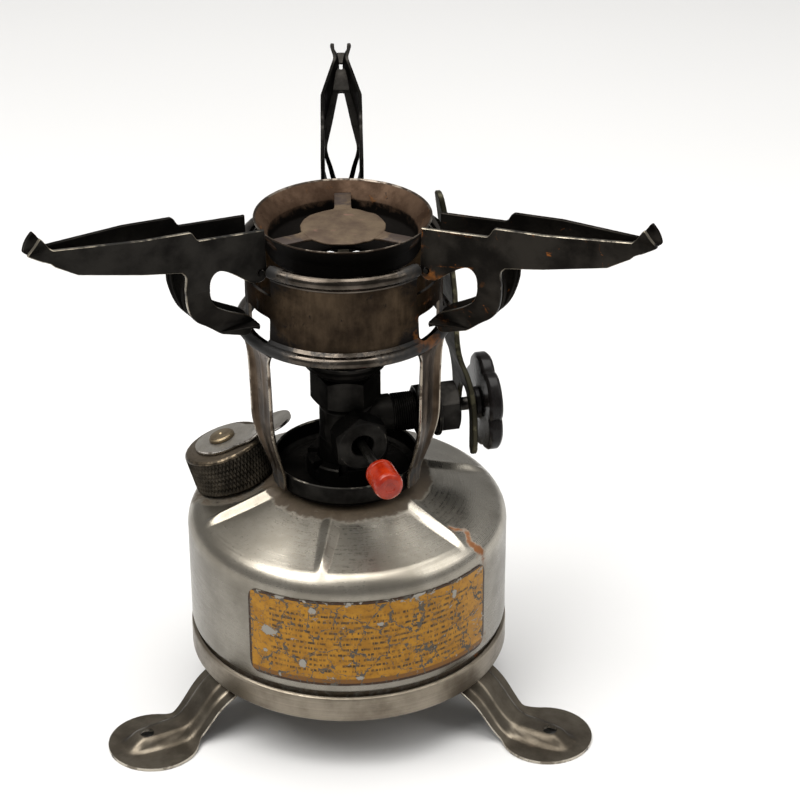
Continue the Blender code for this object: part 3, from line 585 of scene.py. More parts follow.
def label_foil():
    """Amber printed foil: dark border, ruled print rows, cracks and bare metal patches."""
    g = Graph("label_foil")
    along, up = g.split(g.flow)[:2]
    wide, high = rad(LABEL_A1 - LABEL_A0) * TANK_R, LABEL_Z1 - LABEL_Z0
    wobble = g.noise(0.25, 4.0, stretch=(1.0, 1.0), seed=2.0)
    base = g.mix(g.ramp(wobble, 0.35, 0.65), (0.275, 0.122, 0.004), (0.37, 0.172, 0.008))
    dirt = g.noise(0.9, 6.0, 0.7, stretch=(1.0, 1.0), seed=8.0)
    base = g.mix(g.ramp(dirt, 0.5, 0.72, 0.0, 0.75), base, (0.115, 0.045, 0.006))

    def inside(value, start, end, soft):
        return g.math("MINIMUM", g.ramp(value, start - soft, start + soft),
                      g.ramp(value, end - soft, end + soft, 1.0, 0.0))

    border = 0.9
    wave = g.math("MULTIPLY", g.math("SUBTRACT", dirt, 0.5), 0.5)
    x, y = g.math("ADD", along, wave), g.math("ADD", up, wave)
    field = g.math("MINIMUM", inside(x, border, wide - border, 0.12),
                   inside(y, border, high - border, 0.12))
    base = g.mix(g.ramp(y, 2.7, 2.3), base, (0.15, 0.062, 0.008))
    base = g.mix(field, (0.032, 0.014, 0.005), base)

    rows, foot_gap, head_gap = 11, 4.6, 4.4
    pitch = (high - (foot_gap + head_gap)) / rows
    line = g.math("DIVIDE", g.math("SUBTRACT", up, foot_gap), pitch)
    phase = g.math("FRACT", line)
    bar = inside(g.math("ADD", phase, g.math("MULTIPLY", dirt, 0.3)), 0.38, 0.80, 0.08)
    row_id = g.math("FLOOR", line)
    cell = g.add("ShaderNodeCombineXYZ")
    g.wire(g.math("MULTIPLY", along, 1.15), cell.inputs[0])
    g.wire(g.math("MULTIPLY", row_id, 7.31), cell.inputs[1])
    dash = g.add("ShaderNodeTexNoise", Scale=1.0, Detail=1.0)
    g.wire(cell.outputs[0], dash.inputs["Vector"])
    block = inside(along, 8.0, wide - 9.0, 0.2)
    block = g.math("MINIMUM", block, inside(up, foot_gap, high - head_gap, 0.1))
    ink = g.math("MULTIPLY", g.math("MINIMUM", bar, block), g.ramp(dash.outputs["Fac"], 0.45, 0.51))
    faded = g.ramp(g.noise(0.35, 5.0, 0.7, stretch=(1.0, 1.0), seed=31.0), 0.38, 0.58, 0.22, 0.95)
    base = g.mix(g.math("MULTIPLY", ink, faded), base, (0.026, 0.018, 0.010))

    warp = g.add("ShaderNodeTexNoise", Scale=0.30, Detail=6.0, Roughness=0.62)
    g.wire(g.flow, warp.inputs["Vector"])
    push = g.scaled(warp.outputs["Color"], 5.5)
    big = g.cells(0.11, 3.0, push)
    small = g.cells(0.26, 9.0, push)
    zone = g.noise(0.10, 4.0, stretch=(1.0, 1.0), seed=5.0)
    wide_crack = g.ramp(g.noise(0.5, 4.0, stretch=(1.0, 1.0), seed=21.0), 0.35, 0.7, 0.0, 0.038)
    crack = g.ramp(g.math("SUBTRACT", big, wide_crack), 0.008, 0.0)
    fine = g.ramp(g.math("SUBTRACT", small, g.math("MULTIPLY", wide_crack, 0.6)), 0.010, 0.0)
    crack = g.math("MAXIMUM", g.math("MULTIPLY", crack, g.ramp(zone, 0.24, 0.34)),
                   g.math("MULTIPLY", fine, g.ramp(zone, 0.46, 0.54)))
    base = g.mix(crack, base, (0.075, 0.068, 0.056))
    flake = g.noise(0.20, 7.0, 0.66, stretch=(1.0, 1.15), warp=0.8, seed=14.0)
    edge_flake = g.math("MAXIMUM", g.ramp(up, high - 3.0, high, 0.0, 0.10),
                        g.ramp(along, wide - 12.0, wide, 0.0, 0.07))
    flake = g.math("ADD", flake, edge_flake)
    for across, share, half_wide, half_high in LABEL_PATCHES:
        dx = g.math("DIVIDE", g.math("SUBTRACT", along, across), half_wide)
        dy = g.math("DIVIDE", g.math("SUBTRACT", up, share * high), half_high)
        reach = g.math("SQRT", g.math("ADD", g.math("MULTIPLY", dx, dx), g.math("MULTIPLY", dy, dy)))
        flake = g.math("MAXIMUM", flake, g.math("ADD", g.ramp(reach, 0.0, 2.0, 0.53, 0.08),
                                                g.math("MULTIPLY", dirt, 0.5)))
    bare = g.ramp(flake, 0.655, 0.665)
    rim = g.ramp(flake, 0.635, 0.655)
    base = g.mix(g.math("MULTIPLY", rim, 0.7), base, (0.07, 0.045, 0.022))
    base = g.mix(bare, base, (0.27, 0.255, 0.225))
    roughness = g.number(bare, g.number(crack, 0.38, 0.7), 0.36)
    height = g.math("SUBTRACT", g.math("ADD", 1.0, g.math("MULTIPLY", dirt, 0.35)),
                    g.math("MAXIMUM", bare, g.math("MULTIPLY", crack, 0.8)))
    g.shader.inputs["Specular IOR Level"].default_value = 0.25
    return g.finish(base, roughness, bare, height, 0.5, 0.00015)


# painted light and shade by height: the tank's wall is darkened and its dome lightened
STEEL = metal("tank_steel", (0.20, 0.182, 0.150), (0.35, 0.326, 0.280), (0.25, 0.36),
              grain=(0.02, 7.0), grain_amount=0.12, patch=28.0, bump=0.05, seed=1.0,
              painted_light_by_height=(0.060, 0.071, 0.80, 1.32),
              spots=(((0.10, 0.075, 0.05), 420.0, 0.74, 0.6, 0.4),))
BAND_STEEL = metal("band_steel", (0.15, 0.125, 0.095), (0.27, 0.235, 0.185), (0.30, 0.46),
                   grain=(0.02, 6.0), grain_amount=0.2, patch=60.0, bump=0.08, seed=2.0,
                   spots=(((0.08, 0.06, 0.04), 340.0, 0.68, 0.6, 0.4),))
FOOT_STEEL = metal("foot_steel", (0.078, 0.065, 0.049), (0.17, 0.147, 0.114), (0.30, 0.44),
                   grain=(0.03, 3.0), grain_amount=0.2, patch=70.0, bump=0.08, seed=3.0,
                   spots=(((0.07, 0.05, 0.032), 300.0, 0.64, 0.55, 0.5),))
BRIGHT_EDGE = worn("steel_edge", (0.18, 0.155, 0.12), (0.48, 0.44, 0.37), 0.8, (0.35, 0.24), 1.0)
BLACK = metal("black_oxide", (0.0075, 0.0070, 0.0064), (0.0215, 0.0200, 0.0180), (0.36, 0.58), 0.9,
              patch=120.0, bump=0.22, seed=4.0, graze=0.15,
              spots=(((0.04, 0.028, 0.018), 380.0, 0.67, 0.75, 0.3),))
BLACK_EDGE = worn("black_edge", (0.012, 0.011, 0.010), (0.06, 0.055, 0.047), 0.35, (0.5, 0.35), 4.0,
                  260.0)
CUP_EDGE = worn("cup_edge", (0.012, 0.011, 0.009), (0.16, 0.145, 0.12), 0.42, (0.45, 0.25), 5.0, 120.0)
HEAT = metal("heat_tint", (0.023, 0.0160, 0.0108), (0.066, 0.046, 0.029), (0.36, 0.52), 0.95,
             patch=60.0, grain=(0.5, 0.12), grain_amount=0.22, bump=0.08, seed=6.0, graze=0.15,
             soot=(0.012, 0.010, 0.009),
             spots=(((0.014, 0.011, 0.009), 150.0, 0.62, 0.5, 0.7),
                    ((0.085, 0.048, 0.020), 300.0, 0.68, 0.7, 0.4)))
BEAD = metal("bead_steel", (0.032, 0.0265, 0.021), (0.125, 0.105, 0.086), (0.12, 0.22),
             patch=80.0, grain=(0.04, 3.0), grain_amount=0.25, bump=0.05, seed=7.0,
             soot=(0.010, 0.009, 0.008))
LEG = metal("leg_steel", (0.034, 0.023, 0.015), (0.105, 0.077, 0.054), (0.26, 0.42), patch=70.0,
            grain=(0.05, 3.0), grain_amount=0.3, bump=0.1, seed=8.0, soot=(0.014, 0.012, 0.010),
            spots=(((0.035, 0.025, 0.017), 240.0, 0.66, 0.55, 0.6),))
LEG_EDGE = worn("leg_edge", (0.06, 0.045, 0.032), (0.30, 0.26, 0.21), 0.75, (0.35, 0.24), 8.0)
BOWL = metal("bowl_oxide", (0.032, 0.0185, 0.0115), (0.088, 0.056, 0.037), (0.5, 0.7), 0.6, patch=85.0,
             bump=0.35, seed=9.0, graze=0.15, soot=(0.0055, 0.0045, 0.0038),
             spots=(((0.10, 0.045, 0.018), 210.0, 0.63, 0.8, 0.2),
                    ((0.016, 0.012, 0.010), 260.0, 0.64, 0.7, 0.4)))
BOWL_EDGE = worn("bowl_edge", (0.030, 0.022, 0.016), (0.16, 0.135, 0.11), 0.45, (0.6, 0.4), 9.0)
SPREAD = metal("spreader_oxide", (0.052, 0.032, 0.019), (0.100, 0.070, 0.041), (0.52, 0.7), 0.5,
               patch=110.0, bump=0.5, seed=10.0, soot=(0.030, 0.017, 0.011),
               spots=(((0.10, 0.052, 0.035), 160.0, 0.61, 0.8, 0.2),))
ARM = metal("arm_black", (0.0095, 0.0088, 0.0080), (0.0225, 0.0208, 0.0185), (0.34, 0.50), 0.92,
            patch=85.0, bump=0.16, seed=11.0, graze=0.15,
            spots=(((0.035, 0.026, 0.016), 330.0, 0.69, 0.6, 0.5),))
ARM_RUSTY = metal("arm_black_rusty", (0.0095, 0.0085, 0.0073), (0.0255, 0.0225, 0.0190),
                  (0.36, 0.55), 0.9, patch=85.0, bump=0.3, seed=12.0, graze=0.15,
                  spots=(((0.045, 0.022, 0.010), 120.0, 0.64, 0.7, 0.4),
                         ((0.19, 0.065, 0.016), 210.0, 0.635, 0.85, 0.1)))
ARM_EDGE = worn("arm_edge", (0.014, 0.013, 0.011), (0.26, 0.23, 0.18), 0.55, (0.45, 0.28), 12.0, 60.0)
OLIVE = metal("spanner_olive", (0.014, 0.0125, 0.007), (0.034, 0.030, 0.018), (0.5, 0.65), 0.3,
              patch=110.0, grain=(0.08, 2.0), grain_amount=0.25, bump=0.12, seed=13.0, graze=0.15,
              spots=(((0.02, 0.018, 0.012), 280.0, 0.64, 0.6, 0.5),))
OLIVE_EDGE = worn("spanner_edge", (0.03, 0.027, 0.016), (0.11, 0.10, 0.062), 0.5, (0.4, 0.28), 13.0)
KNURL = metal("cap_bronze", (0.023, 0.0200, 0.0160), (0.062, 0.053, 0.041), (0.36, 0.5), 0.9, patch=150.0,
              bump=0.1, seed=14.0, graze=0.15)
KNURL_EDGE = worn("cap_bronze_edge", (0.035, 0.027, 0.018), (0.14, 0.11, 0.075), 0.6, (0.4, 0.3),
                  14.0, 300.0)
CAP_TOP = metal("cap_top", (0.060, 0.046, 0.030), (0.115, 0.090, 0.062), (0.38, 0.52), 0.8, patch=110.0,
                bump=0.12, seed=15.0, grain=(0.3, 3.0), grain_amount=0.25)
GRIP = metal("grip_silver", (0.34, 0.315, 0.275), (0.52, 0.49, 0.44), (0.34, 0.48), patch=90.0,
             bump=0.1, seed=16.0, grain=(2.0, 2.0), grain_amount=0.12,
             spots=(((0.12, 0.10, 0.075), 330.0, 0.64, 0.6, 0.6),))
GRIP_EDGE = worn("grip_edge", (0.18, 0.16, 0.135), (0.50, 0.47, 0.43), 0.7, (0.4, 0.25), 16.0)
RIVET = metal("rivet_tan", (0.13, 0.098, 0.058), (0.24, 0.19, 0.12), (0.34, 0.5), 0.9, patch=200.0,
              bump=0.12, seed=17.0)
STEM = metal("stem_steel", (0.045, 0.041, 0.037), (0.12, 0.112, 0.10), (0.28, 0.42), patch=120.0,
             bump=0.08, seed=18.0, grain=(0.3, 4.0), grain_amount=0.25)
BRASS = metal("brass_inner", (0.40, 0.27, 0.09), (0.60, 0.44, 0.17), (0.25, 0.4), patch=90.0,
              bump=0.08, seed=19.0, grain=(0.05, 3.0), grain_amount=0.15)
KNOB = gloss("knob_black", (0.006, 0.005, 0.0048), (0.011, 0.0095, 0.009), 0.26, 0.12, 20.0, 0.05, 0.12)
RED = gloss("cap_red", (0.32, 0.022, 0.003), (0.21, 0.010, 0.002), 0.26, 0.1, 21.0, 0.15)
RUBBER = gloss("rubber_black", (0.02, 0.02, 0.02), (0.035, 0.033, 0.03), 0.6, 0.1, 22.0)
LEATHER = gloss("leather_brown", (0.20, 0.11, 0.055), (0.12, 0.06, 0.03), 0.5, 0.2, 23.0)
LABEL = label_foil()


# ---- tank --------------------------------------------------------------------------
def tank_paint(kind, p):
    """Stains round the cup, down the ribs, over the shoulder and in the seam groove."""
    r, deg = math.hypot(p.x, p.y), math.degrees(math.atan2(p.y, p.x))
    if kind == "rust":
        along = (r - 38.0) / 15.0
        off = (deg + 35.2 + 2.2 * math.sin(r * 0.8)) / 3.2
        streak = max(0.0, 1.0 - off * off) * smoothstep(along * 5.0) * smoothstep((1.08 - along) * 6.0)
        side = max(0.0, 1.0 - abs(deg + 38.0) / 5.0) * smoothstep((p.z - 52.0) / 8.0) * (r > 51.0)
        return 0.66 * streak + 0.45 * side
    seam = 0.62 * smoothstep((30.6 - p.z) / 0.8)
    cup = 0.76 * smoothstep((32.0 - r) / 6.5) if p.z > 70.0 else 0.0
    ribs = 0.0
    if p.z > 66.0:
        for rib in RIB_ANGLES:
            s = r * rad(apart(deg, rib))
            ribs = max(ribs, 0.42 * smoothstep((s - 1.2) / 1.5) * smoothstep((6.5 - s) / 3.5)
                       * smoothstep((46.0 - r) / 14.0))
    pump_side = 0.0
    if p.z > 64.0:
        away = math.dist(p.xy, PUMP.translation.xy)
        pump_side = 0.55 * smoothstep((19.5 - away) / 4.0)
    return min(0.9, seam + max(cup, ribs, pump_side))


def rib_lift(r, z, a):
    """Raise the dome along its pressed ribs, which narrow outwards."""
    start, end, height = 21.6, 50.6, 1.7
    if not start < r < end or z < 64.0:
        return r, z
    ends = smoothstep((r - start) / 5.0) * smoothstep((end - r) / 7.5)
    half = 3.4 - 0.9 * smoothstep((r - 30.0) / 20.0)
    for rib in RIB_ANGLES:
        s = r * rad(apart(math.degrees(a), rib)) / half
        if s < 1.0:
            return r, z + height * ends * (1.0 - s ** 1.35) ** 1.4
    return r, z


def build_tank():
    bend = 8.0
    shoulder = DOME_Z - 15.4
    arc = arc_points(TANK_R - bend, shoulder, bend, 6, 66, 10)
    dome = curve_through([arc[-1], (43.0, DOME_Z - 6.6), (36.0, DOME_Z - 4.4), (30.0, DOME_Z - 2.4),
                          (25.0, DOME_Z - 0.7), (21.0, DOME_Z)], 6)
    wall = [(TANK_R, z) for z in (31.2, 34.0, 40.0, 46.0, 52.0, 58.0, shoulder)]
    outer = [(50.9, TANK_Z0), (50.9, 27.0), (50.9, 29.0), (51.4, 29.6), (52.1, 29.9), (52.5, 30.3)]
    outer += wall + arc + dome[1:] + [(10.4, DOME_Z)]
    inner = [(10.4, DOME_Z - 1.0), (21.0, DOME_Z - 1.0), (43.0, DOME_Z - 8.0), (49.4, DOME_Z - 10.6),
             (TANK_R - 1.0, shoulder - 0.5), (TANK_R - 1.0, 31.0), (49.9, 30.0), (49.9, TANK_Z0)]
    fine = [0.35 * k for k in range(-19, 20)]
    broad = [8.5 + 2.0 * k for k in range(22)]
    steps = [rib + d for rib in RIB_ANGLES for d in fine + broad]
    shell = lathe(outer + inner, radius=0.0, radial=rib_lift, angles=steps)
    tank = put("tank_body", shell, [STEEL], "base", ["tank_shell"], 40.0, tank_paint)
    neck = lathe([(0.0, -9.0), (10.7, -9.0), (10.7, 12.0), (0.0, 12.0)], 96, 0.0).moved(PUMP)
    cut(tank, [neck], 40.0)

    base = [(0.0, 19.5), (51.0, 19.5), (51.0, 27.2), (51.9, 27.8), (BAND_R - 0.15, 27.3),
            (BAND_R, 26.6), (BAND_R, 19.4), (BAND_R - 0.4, 18.7), (51.6, BAND_Z0), (0.0, BAND_Z0)]

    def band_paint(kind, p):
        if kind == "rust":
            return 0.0
        top = smoothstep((p.z - 26.2) / 1.2)
        return 0.38 * top + 0.28 * smoothstep((19.8 - p.z) / 1.2)

    put("tank_pan", lathe(base, 300, 0.3, worn_mat=0), [BAND_STEEL], "base",
        ["tank_base"], 40.0, band_paint)
    build_label()
    collar = [(9.4, -3.0), (10.3, -3.0), (10.3, 0.4), (11.6, 1.0), (11.6, 8.0), (9.4, 8.0)]
    put("tank_collar", lathe(collar, 96, 0.25).moved(PUMP), [BAND_STEEL, BRIGHT_EDGE], "base",
        ["filler_neck"])


def build_label():
    """Thin foil on the wall; its outline has round corners and small nicks."""
    n, rows, corner = 200, 56, 3.8
    faces_r = (TANK_R + 0.08, TANK_R + 0.30)
    wide, high = rad(LABEL_A1 - LABEL_A0) * TANK_R, LABEL_Z1 - LABEL_Z0
    shape, grid = Shape(), []
    for i in range(n + 1):
        u = wide * i / n
        end = min(u, wide - u)
        drop = corner - math.sqrt(max(0.0, corner * corner - max(0.0, corner - end) ** 2))
        top_nick = 0.55 * max(0.0, noise.noise(Vector((u * 0.8, 3.1, 0.0)))) * smoothstep(u / 25.0)
        foot_nick = 0.15 * max(0.0, noise.noise(Vector((u * 0.5, 9.7, 0.0))))
        lo, hi = drop + foot_nick, high - drop - top_nick
        grid.append([(u, lo + (hi - lo) * j / rows) for j in range(rows + 1)])
    for r in faces_r:
        for column in grid:
            for u, v in column:
                a = rad(LABEL_A0) + u / TANK_R
                shape.verts.append(Vector((r * math.cos(a), r * math.sin(a), LABEL_Z0 + v)))
    m = rows + 1
    layer = (n + 1) * m

    def quad(*loop):
        shape.face(loop, [grid[(i % layer) // m][(i % layer) % m] for i in loop])

    for i in range(n):
        for j in range(rows):
            a = i * m + j
            for base in (0, layer):
                quad(base + a, base + a + m, base + a + m + 1, base + a + 1)
        for j in (0, rows):
            a = i * m + j
            quad(a, a + m, a + m + layer, a + layer)
    for i in (0, n):
        for j in range(rows):
            a = i * m + j
            quad(a, a + 1, a + 1 + layer, a + layer)
    put("label_foil_plate", shape, [LABEL], "base", ["label_plate"])


# ---- feet ----------------------------------------------------------------------------
FOOT_HOLE, FOOT_DISC, FOOT_DISC_R, FOOT_T = (76.6, -1.2), (74.7, 0.0), 15.1, 1.1
FOOT_RUN = [(-20.0, 17.6), (7.0, 17.6), (13.5, 14.6), (17.5, 11.6), (24.0, 3.6), (27.5, FOOT_T),
            (80.0, FOOT_T)]


def foot_height(t):
    """Upper face of the strap, with its bends rounded by averaging nearby points."""
    total = 0.0
    for k in range(-4, 5):
        x = t + 0.45 * k
        for (t0, z0), (t1, z1) in zip(FOOT_RUN, FOOT_RUN[1:]):
            if x <= t1:
                total += z0 + (z1 - z0) * (x - t0) / (t1 - t0)
                break
    return total / 9.0


def foot_ridge(t, s):
    ends = smoothstep((t - 8.0) / 5.0) * smoothstep((48.6 - t) / 7.0)
    half = 6.4 - 1.6 * smoothstep((t - 34.0) / 16.0)
    return 3.3 * ends * smoothstep((half - abs(s)) / 2.9)


def foot_edges(t, disc):
    """Edges of the foot at t along it: a round heel, a strap, and the pad it runs into."""
    heel = 7.2
    strap = heel + 2.6 * min(1.0, max(0.0, t / 12.0)) - 0.8 * min(1.0, max(0.0, (t - 14.0) / 14.0))
    if t < 0.0:
        strap = math.sqrt(max(0.0, heel ** 2 - t * t))
    lo, hi = -strap, strap
    dt = t - disc[0]
    w = math.sqrt(max(0.0, FOOT_DISC_R ** 2 - dt * dt))
    if dt > -4.0:
        return disc[1] - w, disc[1] + w
    if w > 0.0:
        blend = 2.2
        hi += math.log1p(math.exp((disc[1] + w - hi) * blend)) / blend
        lo -= math.log1p(math.exp((lo - (disc[1] - w)) * blend)) / blend
    return lo, hi


def build_foot(side):
    pivot = joint_point(side + "_foot_swing")
    out = math.atan2(pivot.y, pivot.x)
    px = math.hypot(pivot.x, pivot.y)
    lean = math.atan2(FOOT_HOLE[1], FOOT_HOLE[0] - px)
    dx, dy = FOOT_DISC[0] - px, FOOT_DISC[1]
    disc = (dx * math.cos(lean) + dy * math.sin(lean), -dx * math.sin(lean) + dy * math.cos(lean))
    tf = Matrix.Translation((pivot.x, pivot.y, 0.0)) @ Matrix.Rotation(out + lean, 4, "Z")
    far = disc[0] + FOOT_DISC_R
    ts = [-7.15, -7.0, -6.6, -6.0] + [-5.2 + 0.8 * k for k in range(71)]
    ts = [t for t in ts if t < far - 1.6] + [far - d for d in (1.5, 1.0, 0.6, 0.3, 0.1, 0.02)]
    cross = [-1.0 + 2.0 * k / 26 for k in range(27)]
    rings = []
    for t in ts:
        lo, hi = foot_edges(t, disc)
        top = [lo + (hi - lo) * (c + 1.0) / 2.0 for c in cross]
        row = [(t, s, foot_height(t) + foot_ridge(t, s)) for s in top]
        rim = [(t, hi + 0.12, row[-1][2] - 0.3), (t, hi + 0.12, row[-1][2] - FOOT_T + 0.3)]
        under = [(t, s, h - FOOT_T) for t, s, h in reversed(row)]
        rim2 = [(t, lo - 0.12, row[0][2] - FOOT_T + 0.3), (t, lo - 0.12, row[0][2] - 0.3)]
        rings.append([tf @ Vector(p) for p in row + rim + under + rim2])

    def foot_paint(kind, p):
        q = tf.inverted() @ p
        if kind == "rust":
            return 0.0
        flange = smoothstep((abs(q.y) - 6.2) / 2.5) * smoothstep((q.x - 20.0) / 10.0)
        return 0.30 * flange + 0.35 * smoothstep((9.0 - q.x) / 6.0)

    foot = put("stove_foot_" + side, loft(rings, mat_of=strip_edges(len(cross))),
               [FOOT_STEEL, BRIGHT_EDGE], side + "_foot", ["foot_" + side], 50.0,
               foot_paint)
    hole = tf @ Vector((math.hypot(FOOT_HOLE[0] - px, FOOT_HOLE[1]), 0.0, 0.0))
    holes = []
    for place, radius, z0, z1 in ((hole, 2.3, -5.0, 9.0), (pivot, 2.9, 5.0, 25.0)):
        drill = lathe([(0.0, z0), (radius, z0), (radius, z1), (0.0, z1)], 48, 0.0)
        holes.append(drill.moved(Matrix.Translation((place.x, place.y, 0.0))))
    cut(foot, holes, 50.0)


# ---- pump ------------------------------------------------------------------------------
def build_pump():
    cap_r, cap_h, segs = 13.8, 13.6, 528

    def knurl(r, z, a):
        """Crossed diagonal grooves between the chamfers of the cap's side."""
        fade = smoothstep((z - 0.9) / 0.5) * smoothstep((cap_h - 1.1 - z) / 0.5)
        if r < cap_r - 0.05 or fade <= 0.0:
            return r, z
        teeth, lead = 66, 1.9
        ridge = min(abs(math.sin((a * teeth + turn * z * lead) / 2)) for turn in (1, -1))
        return r - 0.42 * fade * (1.0 - min(1.0, ridge * 1.5)), z

    side = [(cap_r, 0.9 + (cap_h - 2.0) * k / 44) for k in range(45)]
    cap = [(12.1, 0.2), (13.0, 0.2), (13.6, 0.5)] + side
    cap += [(cap_r - 0.2, cap_h - 0.6), (cap_r - 0.8, cap_h - 0.1), (cap_r - 1.2, cap_h),
            (2.2, cap_h), (2.2, 11.3), (12.1, 11.3)]
    body = lathe(cap, segs, 0.0, radial=knurl)
    lid = {k for k, (r, z) in enumerate(cap) if z > cap_h - 0.15}
    for k in range(len(body.faces)):
        row = k // segs
        if row in lid:
            body.mats[k] = 1
        if row in (min(lid) - 1, min(lid) - 2):
            body.mats[k] = 2
    put("filler_cap_knurled", body.moved(PUMP), [KNURL, CAP_TOP, KNURL_EDGE], "filler_cap",
        ["pump_cap"], 60.0)
    build_grip(cap_h + 0.35)


def grip_half(u):
    """Half width of the grip plate at u along it: round disc, narrowing neck, round tab."""
    neck, tab, tab_u, tab_end = 3.7, 6.6, 19.0, 6.1
    if u < 6.6:
        return math.sqrt(max(0.0, 9.4 ** 2 - u * u))
    if u < 15.2:
        return 6.7 - (6.7 - neck) * (u - 6.6) / 8.6
    if u < tab_u:
        return max(neck, math.sqrt(max(0.0, tab ** 2 - (u - tab_u) ** 2)))
    return math.sqrt(max(0.0, tab_end ** 2 - (u - tab_u) ** 2)) * tab / tab_end


def build_grip(z0):
    us = [-9.38, -9.3, -9.0, -8.5] + [-7.8 + 0.6 * k for k in range(54)]
    us = [u for u in us if u < 24.6] + [24.7, 24.9, 25.0, 25.06]
    thick, cols = 1.1, 18
    rings = []
    for u in us:
        half = max(0.25, grip_half(u))
        lift = 1.9 * smoothstep((u - 9.8) / 6.2) + 0.10 * max(0.0, u - 14.0)
        row = [(u, -half + 2 * half * k / cols, z0 + thick + lift) for k in range(cols + 1)]
        rim = [(u, half + 0.1, z0 + thick + lift - 0.25), (u, half + 0.1, z0 + lift + 0.25)]
        rim2 = [(u, -half - 0.1, z0 + lift + 0.25), (u, -half - 0.1, z0 + thick + lift - 0.25)]
        rings.append(row + rim + [(a, b, c - thick) for a, b, c in reversed(row)] + rim2)

    def grip_paint(kind, p):
        q = PUMP.inverted() @ p
        ring = math.hypot(q.x, q.y)
        return 0.45 * smoothstep((6.2 - ring) / 1.6) if kind == "stain" else 0.0

    plate = loft(rings, mat_of=strip_edges(cols + 1)).moved(PUMP)
    put("pump_grip_plate", plate, [GRIP, GRIP_EDGE], "plunger", ["pump_grip"], 50.0,
        grip_paint)
    rivet = [(0.0, z0 - 0.2), (1.6, z0 - 0.2), (1.6, z0 + 1.2), (4.3, z0 + 1.2), (4.35, z0 + 2.0),
             (3.7, z0 + 2.6), (0.9, z0 + 2.7), (0.45, z0 + 2.35), (0.0, z0 + 2.2)]
    put("grip_rivet_head", lathe(rivet, 72, 0.25).moved(PUMP), [RIVET, KNURL_EDGE], "plunger",
        ["grip_rivet"])


# ---- burner column, valve and cleaner ---------------------------------------------------
def black_part(name, shape, node, mats=None, sharp=32.0):
    """A blackened piece that stays on the base."""
    put(name, shape, mats or [BLACK, BLACK_EDGE], "base", [node], sharp)


def hex_nut(across, z0, z1, bore, turn=0.0, recess=None):
    """Hexagon nut with turned chamfers, a bore and an optional recess (radius, depth)."""
    segs, chamfer = 96, 0.55
    rc = across / 2 - 0.3
    steps = [360.0 * k / segs for k in range(segs)]
    flat = [across / 2 / math.cos(rad((w + 30.0) % 60.0 - 30.0)) for w in steps]
    flat = [min(f, across / 2 / math.cos(rad(30.0)) - 0.12) for f in flat]

    def ring(radii, heights):
        return [Vector((r * math.cos(rad(w + turn)), r * math.sin(rad(w + turn)), z))
                for w, r, z in zip(steps, radii, heights)]

    def level(r, z):
        return ring([r] * segs, [z] * segs)

    rise = [max(0.02, (f - rc) * chamfer) for f in flat]
    rings = [level(rc - 0.35, z0), level(rc, z0 + 0.1), ring(flat, [z0 + 0.1 + h for h in rise]),
             ring(flat, [z1 - 0.1 - h for h in rise]), level(rc, z1 - 0.1), level(rc - 0.35, z1)]
    if recess:
        wide, deep = recess
        rings += [level(wide + 0.3, z1), level(wide, z1 - 0.3), level(wide, z1 - deep),
                  level(bore, z1 - deep)]
    else:
        rings += [level(bore + 0.3, z1), level(bore, z1 - 0.3)]
    rings += [level(bore, z0 + 0.3), level(bore + 0.3, z0)]
    return loft(rings, closed=True, mat_of=lambda i, k: 1 if i in (0, 4) else 0)


def threads(r, z0, z1, pitch, depth):
    """Profile points of rings that stand for a thread."""
    pts, z = [], z0
    while z + pitch <= z1 + 1e-6:
        pts += [(r - depth, z + 0.05 * pitch), (r, z + 0.4 * pitch), (r, z + 0.6 * pitch),
                (r - depth, z + 0.95 * pitch)]
        z += pitch
    return pts


